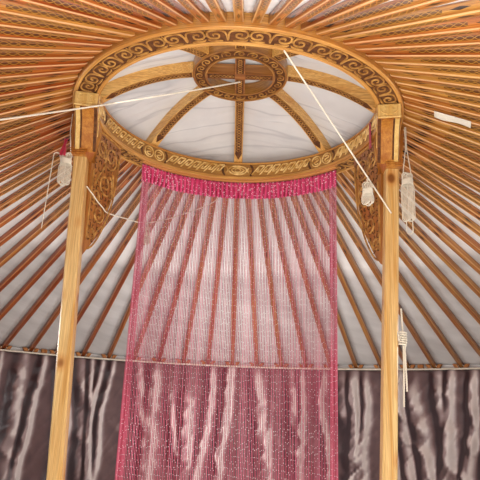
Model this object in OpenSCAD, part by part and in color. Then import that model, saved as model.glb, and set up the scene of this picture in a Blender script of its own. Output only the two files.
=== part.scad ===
// Felt tent of the steppe: lattice wall, straight roof poles, a domed crown on
// two posts, felt covers, and the cords and curtains that hang inside.
// Millimetres. +Z is up, the origin is on the ground at the centre of the round
// floor, and the doorway looks along -Y.

/* [Wall] */
// Inside radius of the lattice wall
wall_r = 2800; // [2600:10:3000]
// Thickness of the two crossed layers of lattice bars
lattice_t = 24; // [16:1:32]
// Width of a lattice bar
bar_w = 28; // [20:1:36]
// Slope of a lattice bar above the horizontal, in degrees
bar_slope = 60; // [54:1:64]
// Height of a lattice head above the pole seat
head_rise = 30; // [15:1:50]
// Thickness of the felt and canvas round the wall
wall_felt_t = 30; // [20:1:45]

/* [Roof] */
// Number of roof poles
pole_count = 80; // [72:8:88]
// Width of a roof pole
pole_w = 36; // [28:1:44]
// Depth of a roof pole at the crown
pole_d_crown = 42; // [34:1:50]
// Depth of a roof pole at its foot
pole_d_foot = 34; // [26:1:42]
// How far a pole reaches past the lattice
pole_reach = 26; // [10:1:28]
// Thickness of the roof felt
roof_felt_t = 28; // [20:1:40]
// How far the eave hangs below the seats of the roof poles
eave_drop = 125; // [80:5:180]

/* [Crown] */
// Outside radius of the crown ring
crown_r = 800; // [720:10:860]
// Width of the crown ring, seen from below
crown_w = 116; // [90:1:140]
// Height of the crown ring
crown_h = 108; // [90:1:130]
// Height of the crown ring's underside above the ground
crown_z = 2447; // [2300:1:2600]
// Depth of the carved band sunk in the crown ring
band_sink = 5; // [2:0.5:8]
// Height of a pole's underside above the crown ring's underside
pole_rise = 18; // [10:1:30]
// Outside radius of the hub ring at the top of the dome
hub_r = 242; // [200:1:280]
// Width of the hub ring
hub_w = 72; // [50:1:90]
// Height of the hub ring
hub_h = 72; // [60:1:80]
// Height of the hub ring's underside above the crown ring's underside
hub_rise = 279; // [240:1:320]
// Width of a crown rib and of a bar of the cross
rib_w = 50; // [36:1:60]
// Depth of a crown rib
rib_d = 62; // [50:1:66]
// How far the rib's arch stands above its chord
rib_arch = 34; // [20:1:50]
// Radius at which a rib's underside lands on the crown ring
rib_land_in = 100; // [95:1:110]
// Side of the square cloth over the crown
cover_side = 2100; // [2000:10:2400]
// Thickness of the cloth over the crown
cover_t = 8; // [5:1:12]

/* [Posts] */
// Side of a square post
post_s = 64; // [50:1:80]
// Chamfer along a post's edges
post_chamfer = 7; // [3:1:12]
// How far a post's axis stands out from the middle of the crown ring
post_head_out = 25; // [0:1:30]
// How far a post's foot stands in from its head
post_foot_in = 99; // [0:1:120]
// Height of a capital
capital_h = 206; // [180:1:240]
// Length of a capital's core along the ring
capital_l = 120; // [90:1:140]
// Reach of a capital's corbel along the ring
corbel_l = 290; // [220:5:320]
// Width of a corbel
corbel_w = 104; // [80:1:112]
// Height of a corbel's tip
corbel_tip = 66; // [50:1:80]
// Reach of a carved bracket along the ring
bracket_l = 310; // [260:5:330]
// Drop of a carved bracket down the post
bracket_h = 670; // [600:5:720]
// Thickness of a carved bracket
bracket_t = 34; // [24:1:44]

/* [Door] */
// Clear width of the doorway
door_w = 900; // [800:10:960]
// Height of the lintel's underside above the ground
door_h = 1400; // [1300:5:1500]
// Height from there to the seats of the roof poles
lintel_h = 105; // [90:1:130]
// Width of a jamb
jamb_w = 95; // [70:1:110]
// Depth of the door frame
frame_d = 100; // [80:1:120]
// Height of the threshold
sill_h = 80; // [50:5:120]
// Thickness of the door leaf
leaf_t = 36; // [28:1:36]
// Clearance round the door leaf
leaf_gap = 5; // [3:1:10]

/* [Hangings] */
// Thickness of the gathered curtain along the wall
curtain_t = 54; // [20:1:70]
// Height of the wall curtain's hem above the ground
curtain_hem_z = 25; // [15:1:60]
// Height of the string curtain's header
header_h = 110; // [60:1:140]
// Thickness of the string curtain's header
header_t = 14; // [8:1:20]
// Height of the string curtain's lower end above the ground
strings_z = 440; // [300:10:600]
// Diameter of the cord along the wall top
top_cord_d = 14; // [8:1:18]
// Diameter of the tether from the dome to the wall
tether_d = 9; // [6:1:12]
// Width of the bands round the outside of the wall
girth_w = 60; // [30:1:80]
// Thickness of the bands and ties outside
girth_t = 4; // [3:1:6]
// Width of the ties that hold the crown cloth
tie_w = 36; // [20:1:50]

/* [Hidden] */
// Gap left between pieces that rest on each other
fit = 0.3;
// Gap under a soft sheet that lies on wood or felt
lay = 0.5;
$fn = 96;
pole_step = 360 / pole_count;
door_angle = 270;
wall_out_r = wall_r + lattice_t;
felt_in_r = wall_out_r + lay;
felt_out_r = felt_in_r + wall_felt_t;
eave_in_r = felt_out_r + lay;
eave_out_r = eave_in_r + roof_felt_t;
pole_end_r = wall_out_r + pole_reach;
// The poles rest on the lintel and on the lattice at one height
wall_h = door_h + lintel_h;
eave_z = wall_h - eave_drop;
crown_in_r = crown_r - crown_w;
crown_mid_r = crown_r - crown_w / 2;
crown_top_z = crown_z + crown_h;
pole_start_r = crown_r + lay;
pole_slope = (crown_z + pole_rise - wall_h) / (wall_out_r - crown_r);
pole_pitch = atan(pole_slope);
hub_z = crown_z + hub_rise;
hub_in_r = hub_r - hub_w;
// Half the angle that the door frame takes out of the wall
door_half = asin((door_w / 2 + jamb_w + fit) / wall_r);
// Lattice: spacing of the heads along the wall, and of the rows of crossings
head_step = wall_out_r * PI * pole_step / 180;
row_step = head_step / 2 * tan(bar_slope);
hole_share = 1 - bar_w / (head_step * sin(bar_slope));
seat_rise = (pole_w / 2 + bar_w / (2 * sin(bar_slope)) + fit) * tan(bar_slope);
head_z = wall_h - seat_rise;
lattice_top_z = wall_h + head_rise;
lattice_rows = ceil(head_z / row_step) + 1;
sections = 5;
section_angle = (360 - 2 * door_half) / sections;
section_gap = 0.01;
// Upright edge that closes each end of a section, in degrees
section_edge = atan(bar_w * 0.8 / wall_r);
felt_top_z = wall_h - pole_slope * (felt_out_r - wall_out_r) - 6;
curtain_out_r = wall_r - lay;
curtain_top_z = wall_h - 16;
top_cord_r = wall_r - top_cord_d / 2 - fit;
top_cord_z = curtain_top_z + top_cord_d / 2 + fit;
felt_pieces = 6;
felt_angle = (360 - 2 * door_half) / felt_pieces;
curtain_pieces = 4;
curtain_angle = (360 - 2 * door_half) / curtain_pieces;
// Door frame: its front stands proud of the felt, and the leaf lies against it
frame_front_y = eave_out_r - leaf_t - 1.5;
frame_back_y = frame_front_y - frame_d;
// Rib arch: a circle through both ends, from the chord and the arch above it
rib_a = [hub_r, hub_z + 6];
rib_b = [crown_r - rib_land_in, crown_top_z];
rib_chord = norm(rib_b - rib_a);
rib_r = rib_chord * rib_chord / (8 * rib_arch) + rib_arch / 2;
rib_dir = (rib_b - rib_a) / rib_chord;
rib_mid = (rib_a + rib_b) / 2;
rib_c = rib_mid + [rib_dir[1], -rib_dir[0]] * (rib_r - rib_arch);
// Posts
post_head_x = crown_mid_r + post_head_out;
post_foot_x = post_head_x - post_foot_in;
post_lean = atan((post_head_x - post_foot_x) / crown_z);
capital_z = crown_z - capital_h;
post_top_x = post_foot_x + capital_z * tan(post_lean);
corbel_turn = asin(corbel_l / crown_mid_r) / 2;
bracket_turn = asin(bracket_l / crown_mid_r) / 2 + 5;
// String curtain, hung from the far side of the crown ring
header_from = 40;
header_to = 138;
// Crown cloth
cloth_flat_r = 1050;
roof_top_z = roof_out_z(crown_r);
// Cords: points chosen by hand along each route
tether_angle = 184 + 2 * corbel_turn;
tether_sag = 50;
drawn_mid_r = 742;
rim_cord_d = 8;
rim_cord_a = from_ring([178, -670, -rim_cord_d / 2 - fit]);
rim_cord_b = [post_x(crown_z - 435) - 8, -post_s / 2 - rim_cord_d / 2 - fit, crown_z - 435];
slack_d = 7;
slack_start_z = crown_z - 347;
slack_start = [-post_x(slack_start_z) + post_s / 2 / cos(post_lean) + slack_d / 2 + 0.8, 0, slack_start_z];
// First stretch: distance back along the left bracket, distance off its face, drop below the ring
slack_near = [
    [30, 4, 350], [51, 5, 358], [74.5, 7, 367], [115, 10, 387], [166.5, 12.5, 402], [206, 4.5, 407],
    [266.5, -2, 400], [362.5, 4, 385], [458.5, 9.5, 369]
];
// The rest, as on a ring of middle radius drawn_mid_r
slack_points = [
    [-549, 516, -354], [-518, 570, -340], [-486, 597, -325], [-447, 624, -307], [-390, 660, -277],
    [-333, 692, -243], [-278, 724, -209], [-221, 747, -176], [-174, 761, -147], [-136, 771, -117],
    [-108, 778, -79], [-94, 782, -39], [-90, 784, -4]
];
slack_route = concat([slack_start], [for (p = slack_near) off_bracket(p)], [for (p = slack_points) from_ring(p)]);
slack_bundle_at = from_ring([-502, 584, -337]);
// Hanks: distance out from the crown ring, then the drops below its underside
// of the tail, of the bundle's lower end and of its upper end
hank_right_drops = [17, 544, 487, 239];
hank_left_drops = [12, 592, 371, 205];
hank_t = 38;
hank_w = 56;
hank_loop_w = 14;
hank_y = -62;
knot_r = 21;
knot_drop = 1017;
knot_tails = [299, 133];
knot_z = crown_z - knot_drop;
knot_x = post_x(knot_z) + post_s / 2 / cos(post_lean) + knot_r + 0.4;

// Height of a pole's underside and top at radius r, and of the roof felt on it
function pole_under_z(r) = wall_h + pole_slope * (wall_out_r - r);
function pole_depth_z(r) = (pole_d_foot + (pole_d_crown - pole_d_foot) * (pole_end_r - r) / (pole_end_r - crown_r))
    / cos(pole_pitch);
function pole_top_z(r) = pole_under_z(r) + pole_depth_z(r);
function roof_in_z(r) = pole_top_z(r) + lay;
function roof_out_z(r) = roof_in_z(r) + roof_felt_t / cos(pole_pitch);
function rib_top_z(r) = rib_c[1] + sqrt(pow(rib_r + rib_d, 2) - pow(r - rib_c[0], 2));
function post_x(z) = post_foot_x + z * tan(post_lean);
// A point given for a ring of middle radius drawn_mid_r, moved to this ring
function from_ring(p) = let (r = norm([p[0], p[1]]), k = (r + crown_mid_r - drawn_mid_r) / r)
    [p[0] * k, p[1] * k, crown_z + p[2]];
// A point off the inner face of the left bracket
function off_bracket(p) = let (q = bracket_t / 2 + p[1])
    [-crown_mid_r + p[0] * sin(bracket_turn) + q * cos(bracket_turn),
    p[0] * cos(bracket_turn) - q * sin(bracket_turn), crown_z - p[2]];
// A diamond of half width w and half height h, between x = lo and x = hi
function diamond(w, h, lo, hi) = let (xs = concat([max(-w, lo)], lo < 0 && hi > 0 ? [0] : [], [min(w, hi)]))
    concat([for (x = xs) [x, -h * (1 - abs(x) / w)]],
        [for (i = [len(xs) - 1:-1:0]) if (abs(xs[i]) < w) [xs[i], h * (1 - abs(xs[i]) / w)]]);
function polar(r, a, z) = [r * cos(a), r * sin(a), z];
function bezier(a, b, c, d, n) = [for (i = [0:n]) let (t = i / n, s = 1 - t)
    a * s * s * s + b * 3 * s * s * t + c * 3 * s * t * t + d * t * t * t];

// A ring sector of profile points [r, z], from angle a1 to a2
module sector(a1, a2, points) {
    rotate([0, 0, a1]) rotate_extrude(angle = a2 - a1, $fn = 180) polygon(points);
}

// A rectangular profile from radius r1 to r2 and height z1 to z2
function band(r1, r2, z1, z2) = [[r1, z1], [r2, z1], [r2, z2], [r1, z2]];

// A straight round cord between two points
module straight_cord(a, b, d) {
    run = b - a;
    translate(a) rotate([0, acos(run[2] / norm(run)), atan2(run[1], run[0])])
        cylinder(h = norm(run), d = d, $fn = 24);
}

// A cord of diameter d swept along a route of points, with 8 sides
module swept_cord(route, d) {
    sides = 8;
    count = len(route);
    function run(i) = route[min(i + 1, count - 1)] - route[max(i - 1, 0)];
    function unit(v) = v / norm(v);
    function side(i) = unit(cross(run(i), [1, -0.5, -0.4]));
    function ring(i) = let (u = side(i), w = unit(cross(run(i), u)))
        [for (k = [0:sides - 1]) route[i] + d / 2 * (u * cos(360 * k / sides) + w * sin(360 * k / sides))];
    points = [for (i = [0:count - 1]) each ring(i)];
    walls = [for (i = [0:count - 2]) for (k = [0:sides - 1]) let (n = (k + 1) % sides)
        [i * sides + k, i * sides + n, (i + 1) * sides + n, (i + 1) * sides + k]];
    start = [for (k = [sides - 1:-1:0]) k];
    end = [for (k = [0:sides - 1]) (count - 1) * sides + k];
    polyhedron(points, concat([start], walls, [end]));
}

// Crown ring: a bent laminated hoop with a sunk carved band on its underside
// and inner face, between raised beads
module crown_ring() {
    bead = 16;
    color("peru") rotate_extrude($fn = 180) polygon([
        [crown_in_r, crown_z], [crown_in_r + bead, crown_z],
        [crown_in_r + bead + 2, crown_z + band_sink], [crown_r - bead - 2, crown_z + band_sink],
        [crown_r - bead, crown_z], [crown_r - 3, crown_z], [crown_r, crown_z + 3],
        [crown_r, crown_top_z - 4], [crown_r - 4, crown_top_z], [crown_in_r, crown_top_z],
        [crown_in_r, crown_top_z - 8], [crown_in_r + band_sink, crown_top_z - 10],
        [crown_in_r + band_sink, crown_z + bead + 4], [crown_in_r, crown_z + bead]
    ]);
}

// Hub ring at the top of the dome
module crown_hub() {
    bead = 10;
    color("sandybrown") rotate_extrude($fn = 120) polygon([
        [hub_in_r, hub_z], [hub_in_r + bead, hub_z], [hub_in_r + bead + 1, hub_z + band_sink],
        [hub_r - bead - 1, hub_z + band_sink], [hub_r - bead, hub_z], [hub_r, hub_z],
        [hub_r, hub_z + hub_h - 4], [hub_r - 4, hub_z + hub_h], [hub_in_r + 4, hub_z + hub_h],
        [hub_in_r, hub_z + hub_h - 4]
    ]);
}

// Cross halved together inside the hub ring
module crown_cross() {
    color("peru") intersection() {
        for (a = [0, 90]) rotate([0, 0, a])
            translate([-hub_r, -rib_w / 2, hub_z + 4]) cube([2 * hub_r, rib_w, hub_h - 14]);
        cylinder(h = hub_z * 2, r = hub_in_r - fit, $fn = 120);
    }
}

// One bent rib of the dome, in the plane of local X
module crown_rib() {
    difference() {
        rotate([90, 0, 0]) translate([0, 0, -rib_w / 2]) linear_extrude(rib_w) intersection() {
            difference() {
                translate(rib_c) circle(r = rib_r + rib_d, $fn = 180);
                translate(rib_c) circle(r = rib_r, $fn = 180);
            }
            translate([0, crown_top_z + fit]) square([crown_r, crown_h + hub_rise]);
        }
        cylinder(h = hub_z * 2, r = hub_r + fit, $fn = 120);
    }
}

module crown_ribs() {
    color("burlywood") for (i = [0:7]) rotate([0, 0, 45 * i]) crown_rib();
}

// One roof pole, in the plane of local X, its foot over the lattice head
module roof_pole() {
    rotate([90, 0, 0]) translate([0, 0, -pole_w / 2]) linear_extrude(pole_w) polygon([
        [pole_start_r, pole_under_z(pole_start_r)], [pole_end_r, pole_under_z(pole_end_r)],
        [pole_end_r, pole_top_z(pole_end_r)], [pole_start_r, pole_top_z(pole_start_r)]
    ]);
}

// A quarter of the roof poles, centred on the angle given
module roof_poles(centre) {
    quarter = pole_count / 4;
    color("chocolate") for (i = [0:quarter - 1])
        rotate([0, 0, centre + (i - quarter / 2) * pole_step]) roof_pole();
}

module roof_poles_right() { roof_poles(0); }
module roof_poles_back() { roof_poles(90); }
module roof_poles_left() { roof_poles(180); }
module roof_poles_front() { roof_poles(270); }

// One folding section of the lattice: a curved shell less the diamonds between
// the bars. The open diamonds at the top leave the forked heads.
module lattice(i) {
    from = door_half + i * section_angle;
    to = from + section_angle;
    half_w = head_step / 2 * hole_share;
    color("tan") difference() {
        sector(door_angle + from, door_angle + to - section_gap, band(wall_r, wall_out_r, 0, lattice_top_z));
        for (row = [-1:lattice_rows]) {
            shift = row % 2 == 0 ? pole_step / 2 : 0;
            first = ceil((from - shift) / pole_step - 0.5);
            last = floor((to - shift) / pole_step + 0.5);
            for (k = [first:last]) {
                angle = shift + k * pole_step;
                lo = (from + section_edge - angle) * head_step / pole_step;
                hi = (to - section_edge - angle) * head_step / pole_step;
                if (min(half_w, hi) - max(-half_w, lo) > 4) rotate([0, 0, door_angle + angle])
                    translate([wall_r - lattice_t, 0, head_z - row * row_step]) rotate([90, 0, 90])
                        linear_extrude(3 * lattice_t) polygon(diamond(half_w, row_step * hole_share, lo, hi));
            }
        }
    }
}

module lattice_1() { lattice(0); }
module lattice_2() { lattice(1); }
module lattice_3() { lattice(2); }
module lattice_4() { lattice(3); }
module lattice_5() { lattice(4); }

// A post: square with chamfered edges, leaning out to the ring, its foot and
// head cut level
module post() {
    h = post_s / 2;
    c = h - post_chamfer;
    intersection() {
        translate([post_foot_x, 0, 0]) rotate([0, post_lean, 0]) translate([0, 0, -100])
            linear_extrude(crown_z) polygon([[h, c], [c, h], [-c, h], [-h, c], [-h, -c], [-c, -h], [c, -h], [h, -c]]);
        translate([0, -crown_r, 0]) cube([2 * crown_r, 2 * crown_r, capital_z - fit]);
    }
}

module post_left() { color("goldenrod") mirror([1, 0, 0]) post(); }
module post_right() { color("goldenrod") post(); }

// A capital: a core that flares from the post to the ring, and a corbel towards
// the doorway that follows the ring
module capital() {
    top_z = crown_z - fit;
    ear_z = crown_z - 70;
    half = post_s / 2 + 4;
    translate([0, capital_l / 2, 0]) rotate([90, 0, 0]) linear_extrude(capital_l) polygon([
        [post_top_x - half, capital_z], [post_top_x + half, capital_z],
        [crown_r + 6, ear_z], [crown_r + 6, top_z], [crown_in_r + 6, top_z], [crown_in_r + 6, ear_z]
    ]);
    curve = bezier([capital_l / 2 - 20, -capital_h + 24], [corbel_l * 0.42, -capital_h * 0.74],
        [corbel_l * 0.5, -corbel_tip], [corbel_l, -corbel_tip], 12);
    translate([crown_mid_r, 0, top_z]) rotate([0, 0, -corbel_turn]) translate([-corbel_w / 2, 0, 0])
        rotate([90, 0, 90]) mirror([1, 0, 0]) linear_extrude(corbel_w)
            polygon(concat(curve, [[corbel_l, 0], [capital_l / 2 - 20, 0]]));
}

module capital_left() { color("orange") mirror([1, 0, 0]) capital(); }
module capital_right() { color("orange") capital(); }

// A carved bracket behind a post: a board under the ring that sweeps down to
// the post in a double curve
module bracket() {
    curve = concat(bezier([bracket_l, -80], [bracket_l - 8, -bracket_h * 0.45], [bracket_l * 0.6, -bracket_h * 0.82],
        [post_s, -bracket_h * 0.985], 16), [[post_s * 0.7, -bracket_h], [0, -bracket_h]]);
    difference() {
        translate([crown_mid_r, 0, crown_z - fit]) rotate([0, 0, bracket_turn]) translate([-bracket_t / 2, 0, 0])
            rotate([90, 0, 90]) linear_extrude(bracket_t) polygon(concat([[0, 0], [bracket_l, 0]], curve));
        translate([0, -crown_r, 0]) cube([2 * crown_r, crown_r + post_s / 2 + fit, crown_z]);
        translate([0, -crown_r, capital_z - fit]) cube([2 * crown_r, crown_r + capital_l / 2 + fit, crown_z]);
    }
}

module bracket_left() { color("sienna") mirror([1, 0, 0]) bracket(); }
module bracket_right() { color("sienna") bracket(); }

// Felt and canvas round the wall, in lengths that meet edge to edge
module wall_felt(i) {
    from = door_angle + door_half + i * felt_angle;
    color("ivory") sector(from, from + felt_angle - section_gap, band(felt_in_r, felt_out_r, 0, felt_top_z));
}

module wall_felt_1() { wall_felt(0); }
module wall_felt_2() { wall_felt(1); }
module wall_felt_3() { wall_felt(2); }
module wall_felt_4() { wall_felt(3); }
module wall_felt_5() { wall_felt(4); }
module wall_felt_6() { wall_felt(5); }

// A quarter of the roof felt: it lies on the poles and hangs over the wall felt
module roof_felt(centre) {
    sector(centre - 45, centre + 45 - section_gap, [
        [pole_start_r, roof_in_z(pole_start_r)], [eave_in_r, roof_in_z(eave_in_r)],
        [eave_in_r, eave_z], [eave_out_r, eave_z], [eave_out_r, roof_out_z(eave_out_r)],
        [pole_start_r, roof_out_z(pole_start_r)]
    ]);
}

module roof_felt_right() { color("white") roof_felt(0); }
module roof_felt_back() { color("white") roof_felt(90); }
module roof_felt_left() { color("white") roof_felt(180); }

// The front quarter has no skirt over the door frame
module roof_felt_front() {
    half = door_w / 2 + jamb_w + 15;
    color("white") difference() {
        roof_felt(door_angle);
        translate([-half, -eave_out_r - 10, 0]) cube([2 * half, eave_out_r - wall_r + jamb_w, felt_top_z + 8]);
    }
}

// Square cloth over the dome, its corners down the roof
module crown_cloth() {
    dome = [for (i = [0:8]) let (r = hub_r + (crown_r - 40 - hub_r) * i / 8) [r, max(rib_top_z(r), crown_top_z) + 1]];
    under = concat([[0, hub_z + hub_h + 1]], [[hub_r, hub_z + hub_h + 1]], [for (p = dome) if (p[0] > hub_r + 30) p],
        [[crown_r + 2, crown_top_z + 1], [cloth_flat_r, roof_out_z(cloth_flat_r) + lay],
        [cover_side, roof_out_z(cover_side) + lay]]);
    over = [for (i = [len(under) - 1:-1:0]) under[i] + [0, cover_t]];
    color("whitesmoke") intersection() {
        rotate_extrude($fn = 120) polygon(concat(under, over));
        translate([-cover_side / 2, -cover_side / 2, 0]) cube([cover_side, cover_side, 2 * crown_z]);
    }
}

// One tie from a corner of the crown cloth down the roof to the wall
module crown_cloth_tie() {
    start_r = cover_side / sqrt(2) + 4;
    drop_r = eave_out_r + lay;
    end_z = eave_z - 60;
    points = [[start_r, roof_out_z(start_r) + lay], [drop_r, roof_out_z(eave_out_r) + lay], [drop_r, end_z]];
    rotate([90, 0, 0]) translate([0, 0, -tie_w / 2]) linear_extrude(tie_w) polygon([
        points[0], points[1], points[2], points[2] + [girth_t, 0], points[1] + [girth_t, girth_t],
        points[0] + [0, girth_t + 1]
    ]);
}

module crown_cloth_ties() {
    color("linen") for (i = [0:3]) rotate([0, 0, 45 + 90 * i]) crown_cloth_tie();
}

// Three woven bands that girdle the wall from jamb to jamb
module wall_girths() {
    inner = felt_out_r + lay;
    color("linen") for (share = [0.25, 0.54, 0.82]) let (z = share * wall_h) sector(door_angle + door_half, door_angle + 360 - door_half,
        band(inner, inner + girth_t, z, z + girth_w));
}

// Cord that the wall curtain hangs from, round the top of the lattice
module wall_top_cord() {
    color("linen") rotate([0, 0, door_angle + door_half]) rotate_extrude(angle = 360 - 2 * door_half, $fn = 180)
        translate([top_cord_r, top_cord_z]) circle(d = top_cord_d, $fn = 16);
}

module wall_curtain(i) {
    from = door_angle + door_half + i * curtain_angle;
    color("rosybrown") sector(from, from + curtain_angle - section_gap,
        band(curtain_out_r - curtain_t, curtain_out_r, curtain_hem_z, curtain_top_z));
}

module wall_curtain_1() { wall_curtain(0); }
module wall_curtain_2() { wall_curtain(1); }
module wall_curtain_3() { wall_curtain(2); }
module wall_curtain_4() { wall_curtain(3); }

module door_jamb() {
    translate([door_w / 2, -frame_front_y, 0]) cube([jamb_w, frame_d, door_h]);
}

module door_jamb_left() { color("darkorange") mirror([1, 0, 0]) door_jamb(); }
module door_jamb_right() { color("darkorange") door_jamb(); }

// Lintel: its top follows the undersides of the poles that rest on it
module door_lintel() {
    half = door_w / 2 + jamb_w;
    color("darkorange") difference() {
        translate([-half, -frame_front_y, door_h]) cube([2 * half, frame_d, 2 * lintel_h]);
        rotate_extrude($fn = 180) polygon([
            [crown_r, pole_under_z(crown_r) - fit], [wall_r * 1.1, pole_under_z(wall_r * 1.1) - fit],
            [wall_r * 1.1, crown_z], [crown_r, crown_z]
        ]);
    }
}

module door_threshold() {
    color("darkorange") translate([-door_w / 2, -frame_front_y, 0]) cube([door_w, frame_d, sill_h]);
}

// Door leaf, folded back against the front of the frame on two pin hinges
module door_leaf() {
    leaf_w = door_w - 2 * leaf_gap;
    leaf_h = door_h - sill_h - 2 * leaf_gap;
    pin_r = 8;
    front = -frame_front_y - fit;
    color("darkorange") {
        translate([door_w / 2 + leaf_gap, front - leaf_t, sill_h + leaf_gap]) cube([leaf_w, leaf_t, leaf_h]);
        for (z = [sill_h + 160, door_h - 260]) {
            translate([door_w / 2, front - pin_r - fit, z]) cylinder(h = 100, r = pin_r, $fn = 32);
            translate([door_w / 2, front - pin_r - fit, z + 20]) cube([leaf_gap + 10, 5, 60]);
        }
    }
}

// String curtain: a gathered header under the ring, and the strings below it
module curtain_header() {
    color("crimson") sector(header_from, header_to,
        band(crown_mid_r - header_t / 2, crown_mid_r + header_t / 2, crown_z - fit - header_h, crown_z - fit));
}

module curtain_strings() {
    color("palevioletred") sector(header_from, header_to,
        band(crown_mid_r - 3, crown_mid_r + 3, strings_z, crown_z - 2 * fit - header_h));
}

// Tether from the cross of the dome to the top of the wall, with a slight sag
module crown_tether() {
    start = [0, 40, hub_z + 4 - tether_d / 2 - fit];
    end = polar(top_cord_r - top_cord_d / 2 - tether_d / 2 - fit, tether_angle, top_cord_z + 4);
    color("linen") swept_cord([for (i = [0:12]) let (t = i / 12)
        start + (end - start) * t - [0, 0, 4 * tether_sag * t * (1 - t)]], tether_d);
}

// Cord from the near side of the crown ring to the right post
module rim_cord() {
    color("linen") straight_cord(rim_cord_a, rim_cord_b, rim_cord_d);
}

// A bundle of spare cord, tied off and hanging
module cord_bundle() {
    mirror([0, 0, 1]) rotate_extrude($fn = 32)
        polygon([[0, 0], [9, 2], [17, 22], [20, 62], [16, 104], [7, 128], [0, 130]]);
}

module rim_cord_bundle() {
    at = rim_cord_a + (rim_cord_b - rim_cord_a) * 0.745;
    color("linen") translate(at - [0, 0, rim_cord_d * 0.62 + fit]) cord_bundle();
}

// Slack cord from the left post, round the edge of the string curtain, to the
// back of the crown ring
module slack_cord() {
    color("linen") swept_cord(slack_route, slack_d);
}

module slack_cord_bundle() {
    color("linen") translate(slack_bundle_at) cord_bundle();
}

// A hank of cord: a flat bundle with round ends, hung by a narrow loop from a
// roof pole, with a tail below
module hank(side, drops) {
    x = side * (crown_r + drops[0]);
    top_z = pole_under_z(norm([x, hank_y]) + hank_loop_w / 2) - fit;
    z0 = crown_z - drops[1];
    z1 = crown_z - drops[2];
    z2 = crown_z - drops[3];
    translate([x, hank_y + hank_t / 2, 0]) rotate([90, 0, 0]) linear_extrude(hank_t) {
        translate([0, z1 + hank_w / 2]) circle(d = hank_w, $fn = 32);
        translate([-hank_w / 2, z1 + hank_w / 2]) square([hank_w, z2 - z1 - hank_w]);
        translate([0, z2 - hank_w / 2]) circle(d = hank_w, $fn = 32);
    }
    translate([x - hank_loop_w / 2, hank_y - hank_loop_w / 2, z2 - 20]) cube([hank_loop_w, hank_loop_w, top_z - z2 + 20]);
    translate([x - hank_loop_w / 2, hank_y - hank_loop_w / 2, z0]) cube([hank_loop_w, hank_loop_w, z1 - z0 + 20]);
}

module hank_left() { color("linen") hank(-1, hank_left_drops); }
module hank_right() { color("linen") hank(1, hank_right_drops); }

// Knot of cord against the outer face of the right post, with a loose end each
// way
module post_knot() {
    end_r = knot_r / 4.5;
    color("linen") translate([knot_x, -8, knot_z]) rotate_extrude($fn = 32) polygon([
        [0, -knot_tails[0]], [end_r, -knot_tails[0]], [end_r, -45], [knot_r * 0.7, -34], [knot_r, 0], [knot_r * 0.7, 34],
        [end_r, 46], [end_r, knot_tails[1]], [0, knot_tails[1]]
    ]);
}

crown_ring();
crown_hub();
crown_cross();
crown_ribs();
roof_poles_right();
roof_poles_back();
roof_poles_left();
roof_poles_front();
lattice_1();
lattice_2();
lattice_3();
lattice_4();
lattice_5();
post_left();
post_right();
capital_left();
capital_right();
bracket_left();
bracket_right();
wall_felt_1();
wall_felt_2();
wall_felt_3();
wall_felt_4();
wall_felt_5();
wall_felt_6();
roof_felt_right();
roof_felt_back();
roof_felt_left();
roof_felt_front();
crown_cloth();
crown_cloth_ties();
wall_girths();
wall_top_cord();
wall_curtain_1();
wall_curtain_2();
wall_curtain_3();
wall_curtain_4();
door_jamb_left();
door_jamb_right();
door_lintel();
door_threshold();
door_leaf();
curtain_header();
curtain_strings();
crown_tether();
rim_cord();
rim_cord_bundle();
slack_cord();
slack_cord_bundle();
hank_left();
hank_right();
post_knot();
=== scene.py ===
import math

import bmesh
import bpy
import numpy as np
from mathutils import Matrix, Vector, noise


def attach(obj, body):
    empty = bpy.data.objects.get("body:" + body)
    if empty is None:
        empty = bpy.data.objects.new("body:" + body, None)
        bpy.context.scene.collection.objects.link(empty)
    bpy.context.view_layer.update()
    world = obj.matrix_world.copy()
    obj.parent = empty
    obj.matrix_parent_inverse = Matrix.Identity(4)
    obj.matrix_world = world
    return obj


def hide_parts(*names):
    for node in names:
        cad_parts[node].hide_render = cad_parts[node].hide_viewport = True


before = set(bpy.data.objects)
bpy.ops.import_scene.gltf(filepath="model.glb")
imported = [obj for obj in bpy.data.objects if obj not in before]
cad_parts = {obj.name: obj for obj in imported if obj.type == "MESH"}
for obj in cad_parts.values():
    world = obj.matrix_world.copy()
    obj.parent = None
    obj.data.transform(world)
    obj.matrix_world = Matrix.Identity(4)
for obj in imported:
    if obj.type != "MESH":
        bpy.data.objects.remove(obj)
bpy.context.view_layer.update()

# Where it is seen from
# The picture is taken from just inside the doorway, a little right of the middle, looking up
# at the crown. The eye is 1.06 m above the ground and the view tilts up by 16 degrees.
eye = Vector((0.0444, -2.7091, 1.0622))
tilt_up = 0.2865
lean = 0.041
turn = -0.0039
film_wide = 36
picture_pixels = 480
focal_pixels = 599.6
rightward = Vector((
    math.cos(lean) * math.cos(turn) - math.sin(lean) * math.sin(tilt_up) * math.sin(turn),
    -math.cos(lean) * math.sin(turn) - math.sin(lean) * math.sin(tilt_up) * math.cos(turn),
    math.sin(lean) * math.cos(tilt_up),
))
ahead = Vector((math.cos(tilt_up) * math.sin(turn), math.cos(tilt_up) * math.cos(turn), math.sin(tilt_up)))
upward = rightward.cross(ahead)
lens = bpy.data.cameras.new("doorway_view")
lens.sensor_width = film_wide
lens.lens = focal_pixels * film_wide / picture_pixels
lens.clip_start = 0.02
camera = bpy.data.objects.new("doorway_view", lens)
camera.matrix_world = Matrix((
    (rightward.x, upward.x, -ahead.x, eye.x),
    (rightward.y, upward.y, -ahead.y, eye.y),
    (rightward.z, upward.z, -ahead.z, eye.z),
    (0, 0, 0, 1),
))
bpy.context.scene.collection.objects.link(camera)
bpy.context.scene.camera = camera
bpy.context.scene.view_settings.view_transform = "Standard"

# Daylight
# A pale ground and an even sky. Inside, soft light comes in at the doorway, rises from the
# floor and comes through the white canvas overhead.


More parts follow.
